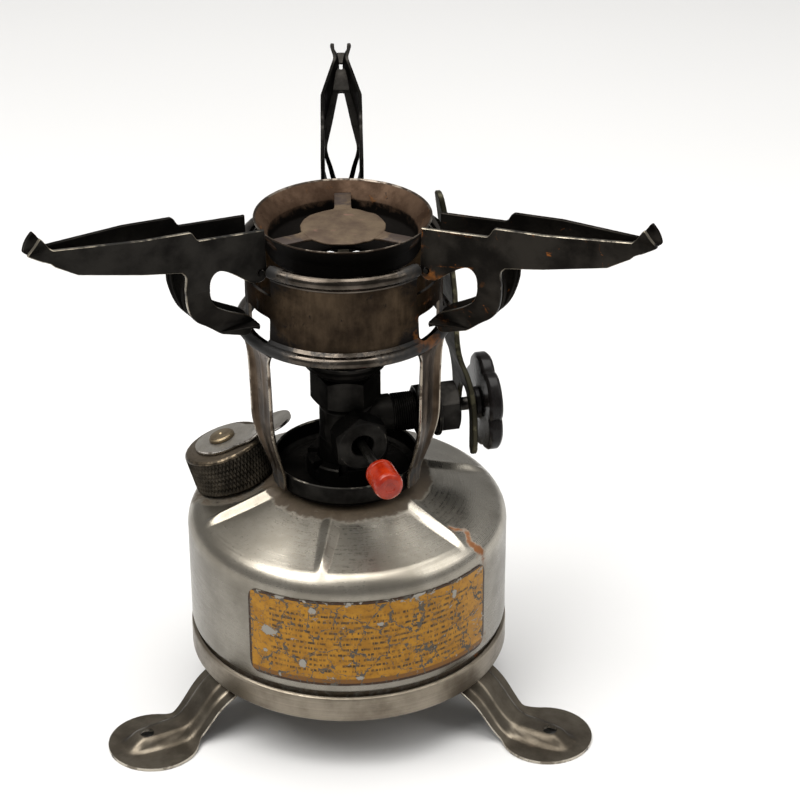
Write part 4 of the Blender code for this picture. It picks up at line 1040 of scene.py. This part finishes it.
def build_column():
    cup = [(9.4, CUP_Z0), (21.5, CUP_Z0), (23.4, CUP_Z0 + 0.5), (CUP_R, CUP_Z0 + 1.6),
           (CUP_R, CUP_Z1 - 0.5), (CUP_R - 0.45, CUP_Z1), (CUP_R - 0.95, CUP_Z1 - 0.5),
           (CUP_R - 0.95, CUP_Z0 + 2.2), (22.2, CUP_Z0 + 1.2), (21.0, CUP_Z0 + 0.9),
           (9.4, CUP_Z0 + 0.9)]
    shape = lathe(cup, 240, 0.3, worn_mat=0)
    for k, loop in enumerate(shape.faces):
        if min(shape.verts[i].z for i in loop) > CUP_Z1 - 0.55:
            shape.mats[k] = 1
    black_part("priming_cup", shape, "primer_cup", [BLACK, CUP_EDGE])

    notches, notch_turn, notch_z = 8, 13.0, NUT_Z1 - 2.6

    def castle(r, z, a):
        """Notches round the nut's rim."""
        turn = (math.degrees(a) + 11.0) % (360.0 / notches)
        if turn < notch_turn and z > NUT_Z1 - 2.2 and r > 9.6:
            return r, notch_z
        return r, z

    nut = [(9.2, NUT_Z0), (NUT_R, NUT_Z0), (NUT_R, notch_z), (NUT_R, NUT_Z1 - 0.5),
           (NUT_R - 0.5, NUT_Z1), (9.7, NUT_Z1), (9.2, NUT_Z1 - 0.3)]
    black_part("castle_nut", lathe(nut, 360, 0.0, radial=castle), "ring_nut", [BLACK], 30.0)

    top = extent("riser_body")[2]
    post = [(2.5, 68.0), (6.6, 68.0), (6.6, 78.0), (8.8, 78.6), (8.8, 96.0), (8.6, 96.4),
            (8.6, top - 1.0), (7.6, top), (2.5, top)]
    barrel = [(2.9, 5.0), (6.4, 5.0), (6.4, 14.6), (5.9, 15.0)]
    barrel += threads(6.35, 15.3, 22.6, 0.72, 0.35) + [(5.9, 22.7), (2.9, 22.7)]
    boss = [(2.9, 4.5), (6.6, 4.5), (6.6, 10.3), (2.9, 10.3)]
    shape = lathe(post, 96).add(lathe(barrel, 96, 0.0).moved(VALVE)).add(lathe(boss, 72).moved(LEVER))
    black_part("riser", shape, "riser_body")
    across = extent("burner_hex_nut")[0] * 2 * math.cos(rad(30.0)) + 0.1
    black_part("burner_hexagon", hex_nut(across, HEX_Z0, HEX_Z1, 3.2, turn=30.0), "burner_hex_nut")
    build_valve()
    build_cleaner()


def build_valve():
    gland = hex_nut(16.0, 22.9, 36.9, 2.9)
    flange = lathe([(2.95, 29.2), (9.3, 29.2), (9.3, 30.4), (2.95, 30.4)], 96)
    black_part("valve_gland", gland.add(flange).moved(VALVE), "valve_gland_nut")
    stem = [(0.0, 5.0), (1.2, 7.0), (2.2, 7.6), (2.2, 42.4), (1.8, 42.6), (1.8, 49.1), (0.0, 49.1)]
    put("valve_spindle", lathe(stem, 48, 0.2).moved(VALVE), [STEM, BRIGHT_EDGE], "valve_control",
        ["valve_stem"])

    def lobes(r, z, a):
        if r < 8.0:
            return r, z
        bite = 2.4 * (1.0 - abs(math.cos(2.5 * a))) ** 1.5
        return r - bite * smoothstep((r - 8.0) / 6.0), z

    knob = [(2.1, 42.8), (5.2, 42.8), (5.2, 44.4), (6.5, 44.5), (14.0, 44.4), (15.6, 44.45), (16.4, 45.3),
            (16.4, 48.1), (15.6, 48.95), (14.0, 49.0), (12.4, 48.4), (6.4, 48.4), (5.4, 49.0), (2.1, 49.0)]
    put("valve_knob", lathe(knob, 300, 0.5, radial=lobes, worn_mat=0, steps=4).moved(VALVE), [KNOB],
        "valve_control", ["control_knob"], 50.0)
    screw = lathe([(0.0, 49.4), (3.6, 49.4), (3.3, 50.8), (1.8, 51.4), (0.0, 51.5)], 60, 0.3)
    head = put("knob_screw_head", screw.moved(VALVE), [STEM, BRIGHT_EDGE], "valve_control",
               ["knob_screw"])
    slot = [[(-4, -0.45, z), (4, -0.45, z), (4, 0.45, z), (-4, 0.45, z)] for z in (50.6, 53.0)]
    cut(head, [loft(slot).moved(VALVE)])


def build_cleaner():
    nut = hex_nut(16.8, 10.5, 18.2, 3.0, turn=5.0, recess=(3.6, 4.8))
    black_part("cleaner_gland", nut.moved(LEVER), "cleaner_gland_nut")
    rod = [(0.0, 2.2), (1.1, 2.5), (1.4, 3.0), (1.4, 14.0), (1.45, 22.0), (1.4, 36.4), (0.0, 36.4)]
    put("cleaner_rod", lathe(rod, 36, 0.15).moved(LEVER), [STEM, STEM], "cleaner_control",
        ["cleaner_lever"])
    cap = [(1.55, 35.2), (1.55, 36.6), (0.0, 36.6), (0.0, 45.7), (1.5, 45.7), (1.7, 46.0),
           (3.3, 45.9), (4.3, 45.3), (4.68, 44.2), (4.68, 37.4), (4.5, 37.1), (4.68, 36.8),
           (4.66, 35.7), (4.3, 35.2)]
    put("lever_cap_moulded", lathe(cap, 96, 0.5, worn_mat=0).moved(LEVER), [RED], "cleaner_control",
        ["lever_cap"], 45.0)


# ---- burner ------------------------------------------------------------------------------
def bowl_paint(kind, p):
    """Soot inside the bowl and on the outer side of its wall."""
    r = math.hypot(p.x, p.y)
    if kind == "rust":
        return 0.0
    inside = smoothstep((24.4 - r) / 1.5) * smoothstep((170.5 - p.z) / 2.0)
    between = 24.55 + (p.z - 169.4) * (0.70 if p.z > 169.4 else 0.35)
    outside = smoothstep((r - between) / 0.3) * smoothstep((173.3 - p.z) / 0.6)
    return 0.8 * max(inside, outside)


# half width of the spreader's arms, and the height of its disc
SPREAD_HALF, SPREAD_Z = 2.65, 169.8


def build_burner():
    dish = [(3.6, DISH_Z0), (10.6, DISH_Z0), (12.2, DISH_Z0 + 1.6), (13.2, DISH_Z0 + 2.4),
            (13.6, DISH_Z0 + 3.6), (DISH_R, DISH_Z1 - 1.2), (DISH_R, DISH_Z1), (13.4, DISH_Z1),
            (11.4, DISH_Z0 + 2.6), (10.0, DISH_Z0 + 1.0), (3.6, DISH_Z0 + 1.0)]
    black_part("burner_dish", lathe(dish, 144, 0.3), "base_dish")
    base, rim = BOWL_Z0, BOWL_Z1
    bowl = [(8.2, base), (16.6, base), (18.4, base + 0.9), (24.0, base + 5.0), (24.5, base + 6.4),
            (24.6, base + 9.8), (25.2, base + 11.4), (27.55, rim - 0.8), (BOWL_R, rim - 0.35),
            (BOWL_R - 0.15, rim), (27.35, rim - 0.3), (24.2, rim - 4.3), (23.5, rim - 5.7),
            (23.3, rim - 9.7), (17.4, base + 2.0), (16.0, base + 1.1), (8.2, base + 1.1)]
    bowl_shape = lathe(bowl, 288, 1.2, worn_mat=0, steps=4)
    for k, loop in enumerate(bowl_shape.faces):
        if min(bowl_shape.verts[i].z for i in loop) > rim - 0.55:
            bowl_shape.mats[k] = 1
    cup = put("burner_cup", bowl_shape, [BOWL, BOWL_EDGE], "base", ["burner_bowl"],
              40.0, bowl_paint)
    half = SPREAD_HALF + 0.01
    ring = ((22.4, -half), (26.2, -half), (26.2, half), (22.4, half))
    slot = [[(*p, z) for p in ring] for z in (168.9, 170.0)]
    cut(cup, [loft(slot).moved(facing(side)) for side in SIDES], 40.0)
    build_spreader()


def build_spreader():
    """Dented disc on three flat arms that reach through slots in the bowl."""
    def uneven(r, h, a):
        """Slight dents in the pressed disc and its crimped rim."""
        bump = noise.noise(Vector((r * math.cos(a) * 0.22, r * math.sin(a) * 0.22, 5.0)))
        ripple = noise.noise(Vector((math.cos(a) * 6.0, math.sin(a) * 6.0, 2.0)))
        return r + 0.22 * ripple * smoothstep((r - 11.0) / 1.5), h + 0.28 * bump

    plate = [(0.0, -1.2), (6.0, -1.3), (11.6, -1.4), (12.7, -1.25), (13.4, -0.6), (13.2, -0.2),
             (12.4, -0.05), (11.2, 0.15), (9.0, 0.30), (5.0, 0.45), (2.5, 0.5), (0.0, 0.5)]
    plate = [(r, SPREAD_Z + h) for r, h in plate]
    shape = lathe(plate, 192, 0.3, radial=uneven, worn_mat=0)
    path = curve_through([(10.0, 169.1), (14.0, 169.15), (18.0, 169.25), (22.0, 169.4), (25.3, 169.45)], 6)
    for side in SIDES:
        rings = []
        for r, h in path:
            half = SPREAD_HALF + 0.5 * smoothstep((15.0 - r) / 2.5)
            sec = [(-half + 0.2, 0.45), (half - 0.2, 0.45), (half, 0.25), (half, -0.25),
                   (half - 0.2, -0.45), (-half + 0.2, -0.45), (-half, -0.25), (-half, 0.25)]
            rings.append([(r, s, h + d) for s, d in sec])
        shape.add(loft(rings).moved(facing(side)))

    def arm_soot(kind, p):
        return 0.62 * smoothstep((math.hypot(p.x, p.y) - 13.0) / 4.0) if kind == "stain" else 0.0

    put("spreader_plate", shape, [SPREAD, BOWL_EDGE], "base", ["flame_spreader"], 45.0,
        arm_soot)


def build_frame():
    """Open cylinder with a rolled bead at both ends, slots for the arms and windows below."""
    inner = FRAME_R - 1.0
    top = arc_points(31.0, FRAME_Z1 - 2.1, 2.1, 205, -84, 20)
    low = arc_points(32.8, FRAME_Z0 + 2.0, 1.85, 112, -115, 15)
    wall = [(inner, FRAME_Z0 + 0.4), (inner, 162.4)] + top
    wall += [(31.5, 162.1), (31.45, 161.6), (FRAME_R, 161.4), (FRAME_R, 152.0),
             (FRAME_R, 141.0)] + low + [(31.2, FRAME_Z0)]
    shape = lathe(wall, 300, 0.0)
    for k, loop in enumerate(shape.faces):
        c = sum((shape.verts[i] for i in loop), Vector()) / len(loop)
        if math.hypot(c.x, c.y) > FRAME_R + 0.15 or c.z > FRAME_Z1 - 3.2:
            shape.mats[k] = 1

    def frame_paint(kind, p):
        deg = math.degrees(math.atan2(p.y, p.x))
        near_right = smoothstep(1.0 - abs(deg + 38.0) / 30.0)
        if kind == "rust":
            return 0.52 * near_right * smoothstep((160.0 - p.z) / 8.0)
        nearest = min(apart(deg, math.degrees(turn)) for turn in ARM_TURN.values())
        beside = smoothstep(1.3 - nearest / 30.0)
        high, low_down = smoothstep((p.z - 155.0) / 6.0), smoothstep((145.0 - p.z) / 3.0)
        return 0.34 * high + 0.46 * low_down + 0.4 * beside

    body = put("burner_cylinder", shape, [HEAT, BEAD], "base", ["burner_frame"],
               35.0, frame_paint)
    slot = [(-7.6, 156.0), (7.6, 156.0), (7.6, 170.0), (-7.6, 170.0)]
    window = soften([(-6.3, 139.2, 1), (6.3, 139.2, 1), (6.6, 142.0, 1), (6.9, 146.4, 1),
                     (7.0, 148.3), (5.4, 148.4, 1), (-5.4, 148.4, 1), (-7.0, 148.3),
                     (-6.9, 146.4, 1), (-6.6, 142.0, 1)], 3)
    cutters = []
    for side in SIDES:
        for outline, reach in ((slot, 40.0), (window, 32.2)):
            rings = [[(r, s, z) for s, z in outline] for r in (20.0, reach)]
            cutters.append(loft(rings).moved(facing(side)))
    cut(body, cutters, 35.0)
    for side in SIDES:
        build_leg(side)


# (r, z, half width, lift of the turned edges) down a leg of the cylinder
LEG_PATH = [(31.4, 135.8, 8.6, 0.4), (30.4, 133.0, 6.9, 1.4), (29.7, 128.0, 6.4, 1.9),
            (29.3, 118.0, 6.3, 2.0), (29.1, 109.5, 6.3, 2.0), (28.5, 104.5, 6.0, 1.9),
            (27.5, 99.5, 5.4, 1.6), (26.1, 94.0, 4.7, 1.2), (25.2, 90.0, 4.2, 0.8),
            (24.95, 87.0, 3.9, 0.5), (24.9, 83.6, 3.6, 0.3)]


def build_leg(side):
    """Pressed strip whose edges turn outwards, from the lower bead to the cup."""
    path = curve_through(LEG_PATH, 7)
    cross = [-1.0 + 2.0 * k / 20 for k in range(21)]
    rings = []
    for i, (r, z, half, lip) in enumerate(path):
        r0, z0 = path[max(i - 1, 0)][:2]
        r1, z1 = path[min(i + 1, len(path) - 1)][:2]
        n = math.hypot(r1 - r0, z1 - z0)
        nr, nz = -(z1 - z0) / n, (r1 - r0) / n
        top = []
        for c in cross:
            s = c * half
            edge = (lip - 0.5) * smoothstep((abs(s) - (half - 2.6)) / 2.4)
            crease = 0.25 * smoothstep(1.0 - abs(s) / 1.6)
            top.append((s, 0.5 + edge + crease))
        row = top + [(half + 0.15, top[-1][1] - 0.25), (half + 0.15, top[-1][1] - 0.75)]
        row += [(s, d - 1.0) for s, d in reversed(top)]
        row += [(-half - 0.15, top[0][1] - 0.75), (-half - 0.15, top[0][1] - 0.25)]
        rings.append([(r + nr * d, s, z + nz * d) for s, d in row])

    def leg_paint(kind, p):
        return 0.6 * smoothstep((98.0 - p.z) / 10.0) if kind == "stain" else 0.0

    shape = loft(rings, mat_of=strip_edges(len(cross), len(cross) - 2, 0)).moved(facing(side))
    put("stand_leg_" + side, shape, [LEG, LEG_EDGE], "base", ["frame_leg_" + side],
        45.0, leg_paint)


# ---- pot supports -----------------------------------------------------------------------
def plate_offset(r, z):
    """Distance of a side plate from the arm's middle: the plates close at the tip and tail."""
    full = 6.3
    if r > 72.0:
        fold = smoothstep((r - 98.0) / 2.5) * smoothstep((190.0 - z) / 5.0)
        taper = full - 3.9 * min(1.0, (r - 72.0) / 26.5) + max(0.0, r - 98.5) * 0.12
        return taper * (1.0 - 0.55 * fold)
    if z < 163.0 and r > 34.0:
        return 2.5 + 3.8 * max(0.0, (z - 148.0) / 15.0)
    return full


# (r, z) outline of a side plate; a third value keeps a corner sharp
SIDE_PLATE = [
    (31.3, 178.4, 1), (42.0, 179.3, 1), (53.3, 180.3, 1), (54.2, 180.9), (55.3, 183.0),
    (56.3, 183.6, 1), (72.0, 184.8, 1), (98.3, 186.6, 1), (99.4, 187.4), (100.9, 189.6, 1),
    (102.2, 191.6), (103.0, 191.0), (106.4, 186.6), (105.6, 185.7), (101.4, 183.1, 1),
    (99.2, 182.2, 1), (98.2, 181.2, 1), (91.5, 177.4, 1), (72.0, 173.6, 1), (59.6, 171.1, 1),
    (58.0, 169.4), (58.2, 167.4), (58.6, 164.6), (58.1, 160.2), (56.6, 155.3), (53.9, 151.8),
    (50.7, 149.6, 1), (48.4, 147.8, 1), (46.2, 146.0, 1), (44.8, 145.1, 1), (38.4, 143.0, 1),
    (35.6, 142.4), (34.6, 144.4, 1), (33.4, 146.6), (34.8, 148.6), (37.0, 150.0), (40.0, 151.4),
    (44.4, 153.6), (48.0, 156.3), (49.9, 160.0), (50.5, 163.4), (49.9, 166.9), (47.4, 168.9), (44.4, 167.8),
    (41.0, 165.4, 1), (38.4, 163.4), (36.4, 161.8), (34.8, 161.4), (32.6, 161.5), (31.1, 162.8),
    (30.9, 166.0, 1), (31.1, 172.4, 1)]

# (r, z, half width, half width of the opening) of the sheet that joins the side plates
WEB = [(105.6, 186.6, 1.3, 0.0), (98.5, 182.3, 2.1, 0.0), (91.4, 178.0, 3.3, 0.0),
       (90.6, 177.84, 3.5, 1.0), (72.0, 174.2, 6.1, 3.2), (60.2, 171.9, 6.1, 4.8),
       (58.5, 170.5, 6.1, 4.9), (57.6, 168.4, 5.9, 4.4), (58.0, 164.8, 4.9, 3.3),
       (57.6, 160.4, 3.9, 2.1), (56.1, 155.6, 2.9, 0.9), (54.6, 153.6, 2.6, 0.4),
       (53.4, 152.3, 2.6, 0.0), (50.8, 150.4, 2.8, 0.0)]


PLATE_T, WEB_T = 1.2, 0.9
# where the side plates bend, so they are cut into strips there
PLATE_CUTS_R = (34.0, 72.0, 85.0, 98.5, 100.5, 103.0)
PLATE_CUTS_Z = (148.0, 152.0, 156.0, 160.0, 163.0, 184.0, 187.0)


def build_web(tf):
    """Sheet bent along the arm's underside and leg, drawn flat and then wrapped."""
    run = [0.0]
    for a, b in zip(WEB, WEB[1:]):
        run.append(run[-1] + math.dist(a[:2], b[:2]))
    fine = curve_through([(t, *row) for t, row in zip(run, WEB)], 4)

    def place(t, s, h):
        k = min(max(i for i, row in enumerate(fine) if row[0] <= t + 1e-6), len(fine) - 2)
        a, b = fine[k], fine[k + 1]
        f = min(1.0, (t - a[0]) / (b[0] - a[0]))
        c, d = fine[max(k - 1, 0)], fine[min(k + 2, len(fine) - 1)]
        n0 = Vector((c[2] - b[2], b[1] - c[1])).normalized()
        n1 = Vector((a[2] - d[2], d[1] - a[1])).normalized()
        n = n0.lerp(n1, f).normalized() * (h - WEB_T / 2)
        return tf @ Vector((a[1] + (b[1] - a[1]) * f + n.x, s, a[2] + (b[2] - a[2]) * f + n.y))

    side = [(t, half - 0.1) for t, half in zip(run, (row[2] for row in WEB))]
    outline = side + [(t, -half) for t, half in reversed(side)]
    gap = [(t, row[3]) for t, row in zip(run, WEB) if row[3]]
    opening = [(run[2] + 0.4, 0.5)] + gap + [(run[12] - 0.9, 0.0)]
    opening += [(t, -half) for t, half in reversed(opening[:-1])]
    shield = [(4.7, -1.1), (6.2, -1.1), (7.1, -0.5), (7.3, 0.0), (7.1, 0.5), (6.2, 1.1), (4.7, 1.1)]
    return slab([outline, opening, shield], WEB_T, place, 0.15,
                cuts_u=[row[0] for row in fine[1:-1]])


# the plate whose edge shows bright metal: partly wear, partly a painted highlight, as only the plate on the
# camera's side gets it and the back arm gets none
WORN_AND_HIGHLIT_SIDE = {"back": 0, "left": 1, "right": -1}


def build_support(side):
    tf = facing(side)
    outline = soften(SIDE_PLATE)
    hole = circle(HINGE_R, HINGE_Z, 1.0, 16)
    shape = Shape()
    for sign in (-1, 1):
        def plate(u, v, h, sign=sign):
            return tf @ Vector((u, sign * (plate_offset(u, v) - PLATE_T / 2 + h), v))

        sheet = slab([outline, hole], PLATE_T, plate, 0.2, PLATE_CUTS_R, PLATE_CUTS_Z)
        # painted highlight over wear: only the plate on the camera's side keeps its bright rims
        shape.add(sheet if sign == WORN_AND_HIGHLIT_SIDE[side] else sheet.recolour(0))
    shape.add(build_web(tf).recolour(0))

    hook = [(34.0, 146.2), (35.6, 143.2), (38.4, 143.8), (43.6, 145.6), (46.4, 147.8), (50.0, 150.8),
            (50.0, 152.2), (47.0, 150.6), (44.0, 149.6), (38.0, 147.6), (35.0, 147.0)]

    def nose(u, v, h):
        return tf @ Vector((u, (h - 0.5) * 2 * (plate_offset(u, v) - 0.3), v))

    shape.add(slab([hook], 1.0, nose, 0.05, cuts_v=(148.0,)))

    def arm_paint(kind, p):
        if kind != "rust" or side != "right":
            return 0.0
        q = tf.inverted() @ p
        spots = noise.noise(Vector((q.x * 0.14, q.z * 0.14, q.y * 0.2 + 3.0)))
        return smoothstep((62.0 - q.x) / 18.0) * (0.40 + 0.34 * spots)

    look = ARM_RUSTY if side == "right" else ARM
    put("support_arm_" + side, shape, [look, ARM_EDGE], side + "_support",
        ["pot_support_" + side], 35.0, arm_paint)


# ---- wrench --------------------------------------------------------------------------------
def build_wrench():
    """Flat spanner hung on the valve stem, drawn flat and bent out along its height."""
    side = Vector((-VALVE_OUT.y, VALVE_OUT.x, 0.0))
    thick = 1.8
    bend = curve_through([(80.0, 40.2), (96.0, 40.2), (108.0, 40.2), (114.0, 39.4), (120.0, 37.9),
                          (141.0, 36.9), (162.0, 34.6), (186.0, 30.4)], 6)

    def place(w, z, h):
        d = bend[-1][1]
        for (z0, d0), (z1, d1) in zip(bend, bend[1:]):
            if z <= z1:
                d = d0 + (d1 - d0) * (z - z0) / (z1 - z0)
                break
        return (d + h - thick / 2) * VALVE_OUT + w * side + Vector((0.0, 0.0, z))

    jaw = [(8.0, 89.5, 1), (8.0, 98.0), (6.8, 103.6), (3.6, 107.4), (0.0, 108.2), (-3.6, 107.4),
           (-6.8, 103.6), (-8.0, 98.0), (-8.0, 89.5, 1), (-9.6, 87.6, 1)]
    front = [(-12.6, 89.0), (-12.8, 98.0), (-10.4, 106.0), (-7.0, 111.0), (0.4, 119.0),
             (2.0, 126.0), (2.0, 141.0, 1), (2.2, 160.0, 1), (2.4, 169.0, 1)]
    top = [(2.9, 173.2), (4.4, 175.0), (7.4, 175.3), (9.2, 173.6), (10.0, 169.0, 1)]
    back = [(12.0, 160.0), (14.6, 150.0), (16.4, 141.0, 1), (16.4, 119.0), (15.4, 111.0),
            (13.6, 104.0), (12.8, 98.0), (12.4, 89.0), (9.4, 87.6, 1)]
    slot = soften([(6.0, 147.0), (10.0, 147.0), (10.0, 153.4), (6.0, 153.4)], 1)
    socket = circle(9.2, 130.0, 4.6, 6, rad(30.0))
    outline = soften(jaw + front + top + back, 2)
    cuts = [111.0 + 1.5 * k for k in range(8)] + [141.0, 162.0]
    shape = slab([outline, slot, socket], thick, place, 0.3, cuts_v=cuts)
    put("flat_spanner", shape, [OLIVE, OLIVE_EDGE], "spanner", ["wrench"], 30.0)


# ---- carried-over nodes, stage, light and camera --------------------------------------------
KEPT = {"cap_gasket": RUBBER, "check_valve": BRASS, "cleaning_needle": STEM, "cup_washer": BLACK,
        "jet_nipple": BRASS, "mixing_tube": BLACK, "pickup_tube": BRASS, "pump_barrel": BRASS,
        "pump_leather": LEATHER, "pump_rod": STEM}
for arm in SIDES:
    KEPT["foot_rivet_" + arm] = FOOT_STEEL
    KEPT["hinge_pin_" + arm] = BLACK


def finish_kept_nodes():
    for node, mat in KEPT.items():
        data = frame["nodes"][node].data
        data.materials.clear()
        data.materials.append(mat)


def build_stage():
    g = Graph("studio_floor")
    tone = g.noise(3.0, 2.0, seed=30.0)
    g.finish(g.mix(tone, (0.57, 0.57, 0.57), (0.61, 0.61, 0.61)), 0.85, 0.0)
    mesh = bpy.data.meshes.new("floor")
    half = 6.0
    mesh.from_pydata([(-half, -half, 0.0), (half, -half, 0.0), (half, half, 0.0), (-half, half, 0.0)],
                     [], [(0, 1, 2, 3)])
    mesh.materials.append(g.mat)
    floor = bpy.data.objects.new("floor", mesh)
    bpy.context.scene.collection.objects.link(floor)


def softbox(name, place, size, power):
    """Warm rectangular light aimed at the middle of the stove."""
    aim = Vector((0.0, 0.0, 0.08))
    light = bpy.data.lights.new(name, "AREA")
    light.shape = "RECTANGLE"
    light.size, light.size_y = size
    light.energy = power
    light.color = (1.0, 0.985, 0.96)
    obj = bpy.data.objects.new(name, light)
    obj.location = place
    obj.rotation_mode = "QUATERNION"
    obj.rotation_quaternion = (aim - Vector(place)).to_track_quat("-Z", "Y")
    bpy.context.scene.collection.objects.link(obj)


def build_light():
    world = bpy.data.worlds.new("studio")
    world.use_nodes = True
    sky = world.node_tree.nodes["Background"]
    sky.inputs["Color"].default_value = (1.0, 1.0, 1.0, 1.0)
    sky.inputs["Strength"].default_value = 0.34
    bpy.context.scene.world = world
    softbox("key", (-0.55, -0.35, 1.05), (0.9, 0.7), 12.5)
    softbox("fill", (0.85, -0.25, 0.8), (0.7, 0.7), 4.5)
    softbox("top", (0.02, 0.06, 1.3), (1.2, 1.0), 20.0)


def build_camera():
    """Camera in front of the stove, looking down; its place is metres from the axis."""
    pitch, yaw, roll = rad(28.66372725), rad(1.36067165), rad(-0.19100982)
    aside, distance, height = 0.0008, 0.706544, 0.493885
    look = Vector((math.sin(yaw) * math.cos(pitch), math.cos(yaw) * math.cos(pitch), -math.sin(pitch)))
    right = Vector((math.cos(yaw), -math.sin(yaw), 0.0))
    up = right.cross(look)
    right, up = (math.cos(roll) * right + math.sin(roll) * up,
                 math.cos(roll) * up - math.sin(roll) * right)
    data = bpy.data.cameras.new("camera")
    data.sensor_width = 36.0
    data.lens = 112.08
    data.clip_start, data.clip_end = 0.05, 50.0
    cam = bpy.data.objects.new("camera", data)
    turn = Matrix((right, up, -look)).transposed().to_4x4()
    cam.matrix_world = Matrix.Translation(AXIS + Vector((aside, -distance, height))) @ turn
    bpy.context.scene.collection.objects.link(cam)
    bpy.context.scene.camera = cam


build_camera()
build_stage()
build_light()
build_tank()
for arm in SIDES:
    build_foot(arm)
build_pump()
build_column()
build_burner()
build_frame()
for arm in SIDES:
    build_support(arm)
build_wrench()
finish_kept_nodes()
bpy.context.scene.view_settings.view_transform = "Standard"

bpy.context.view_layer.update()
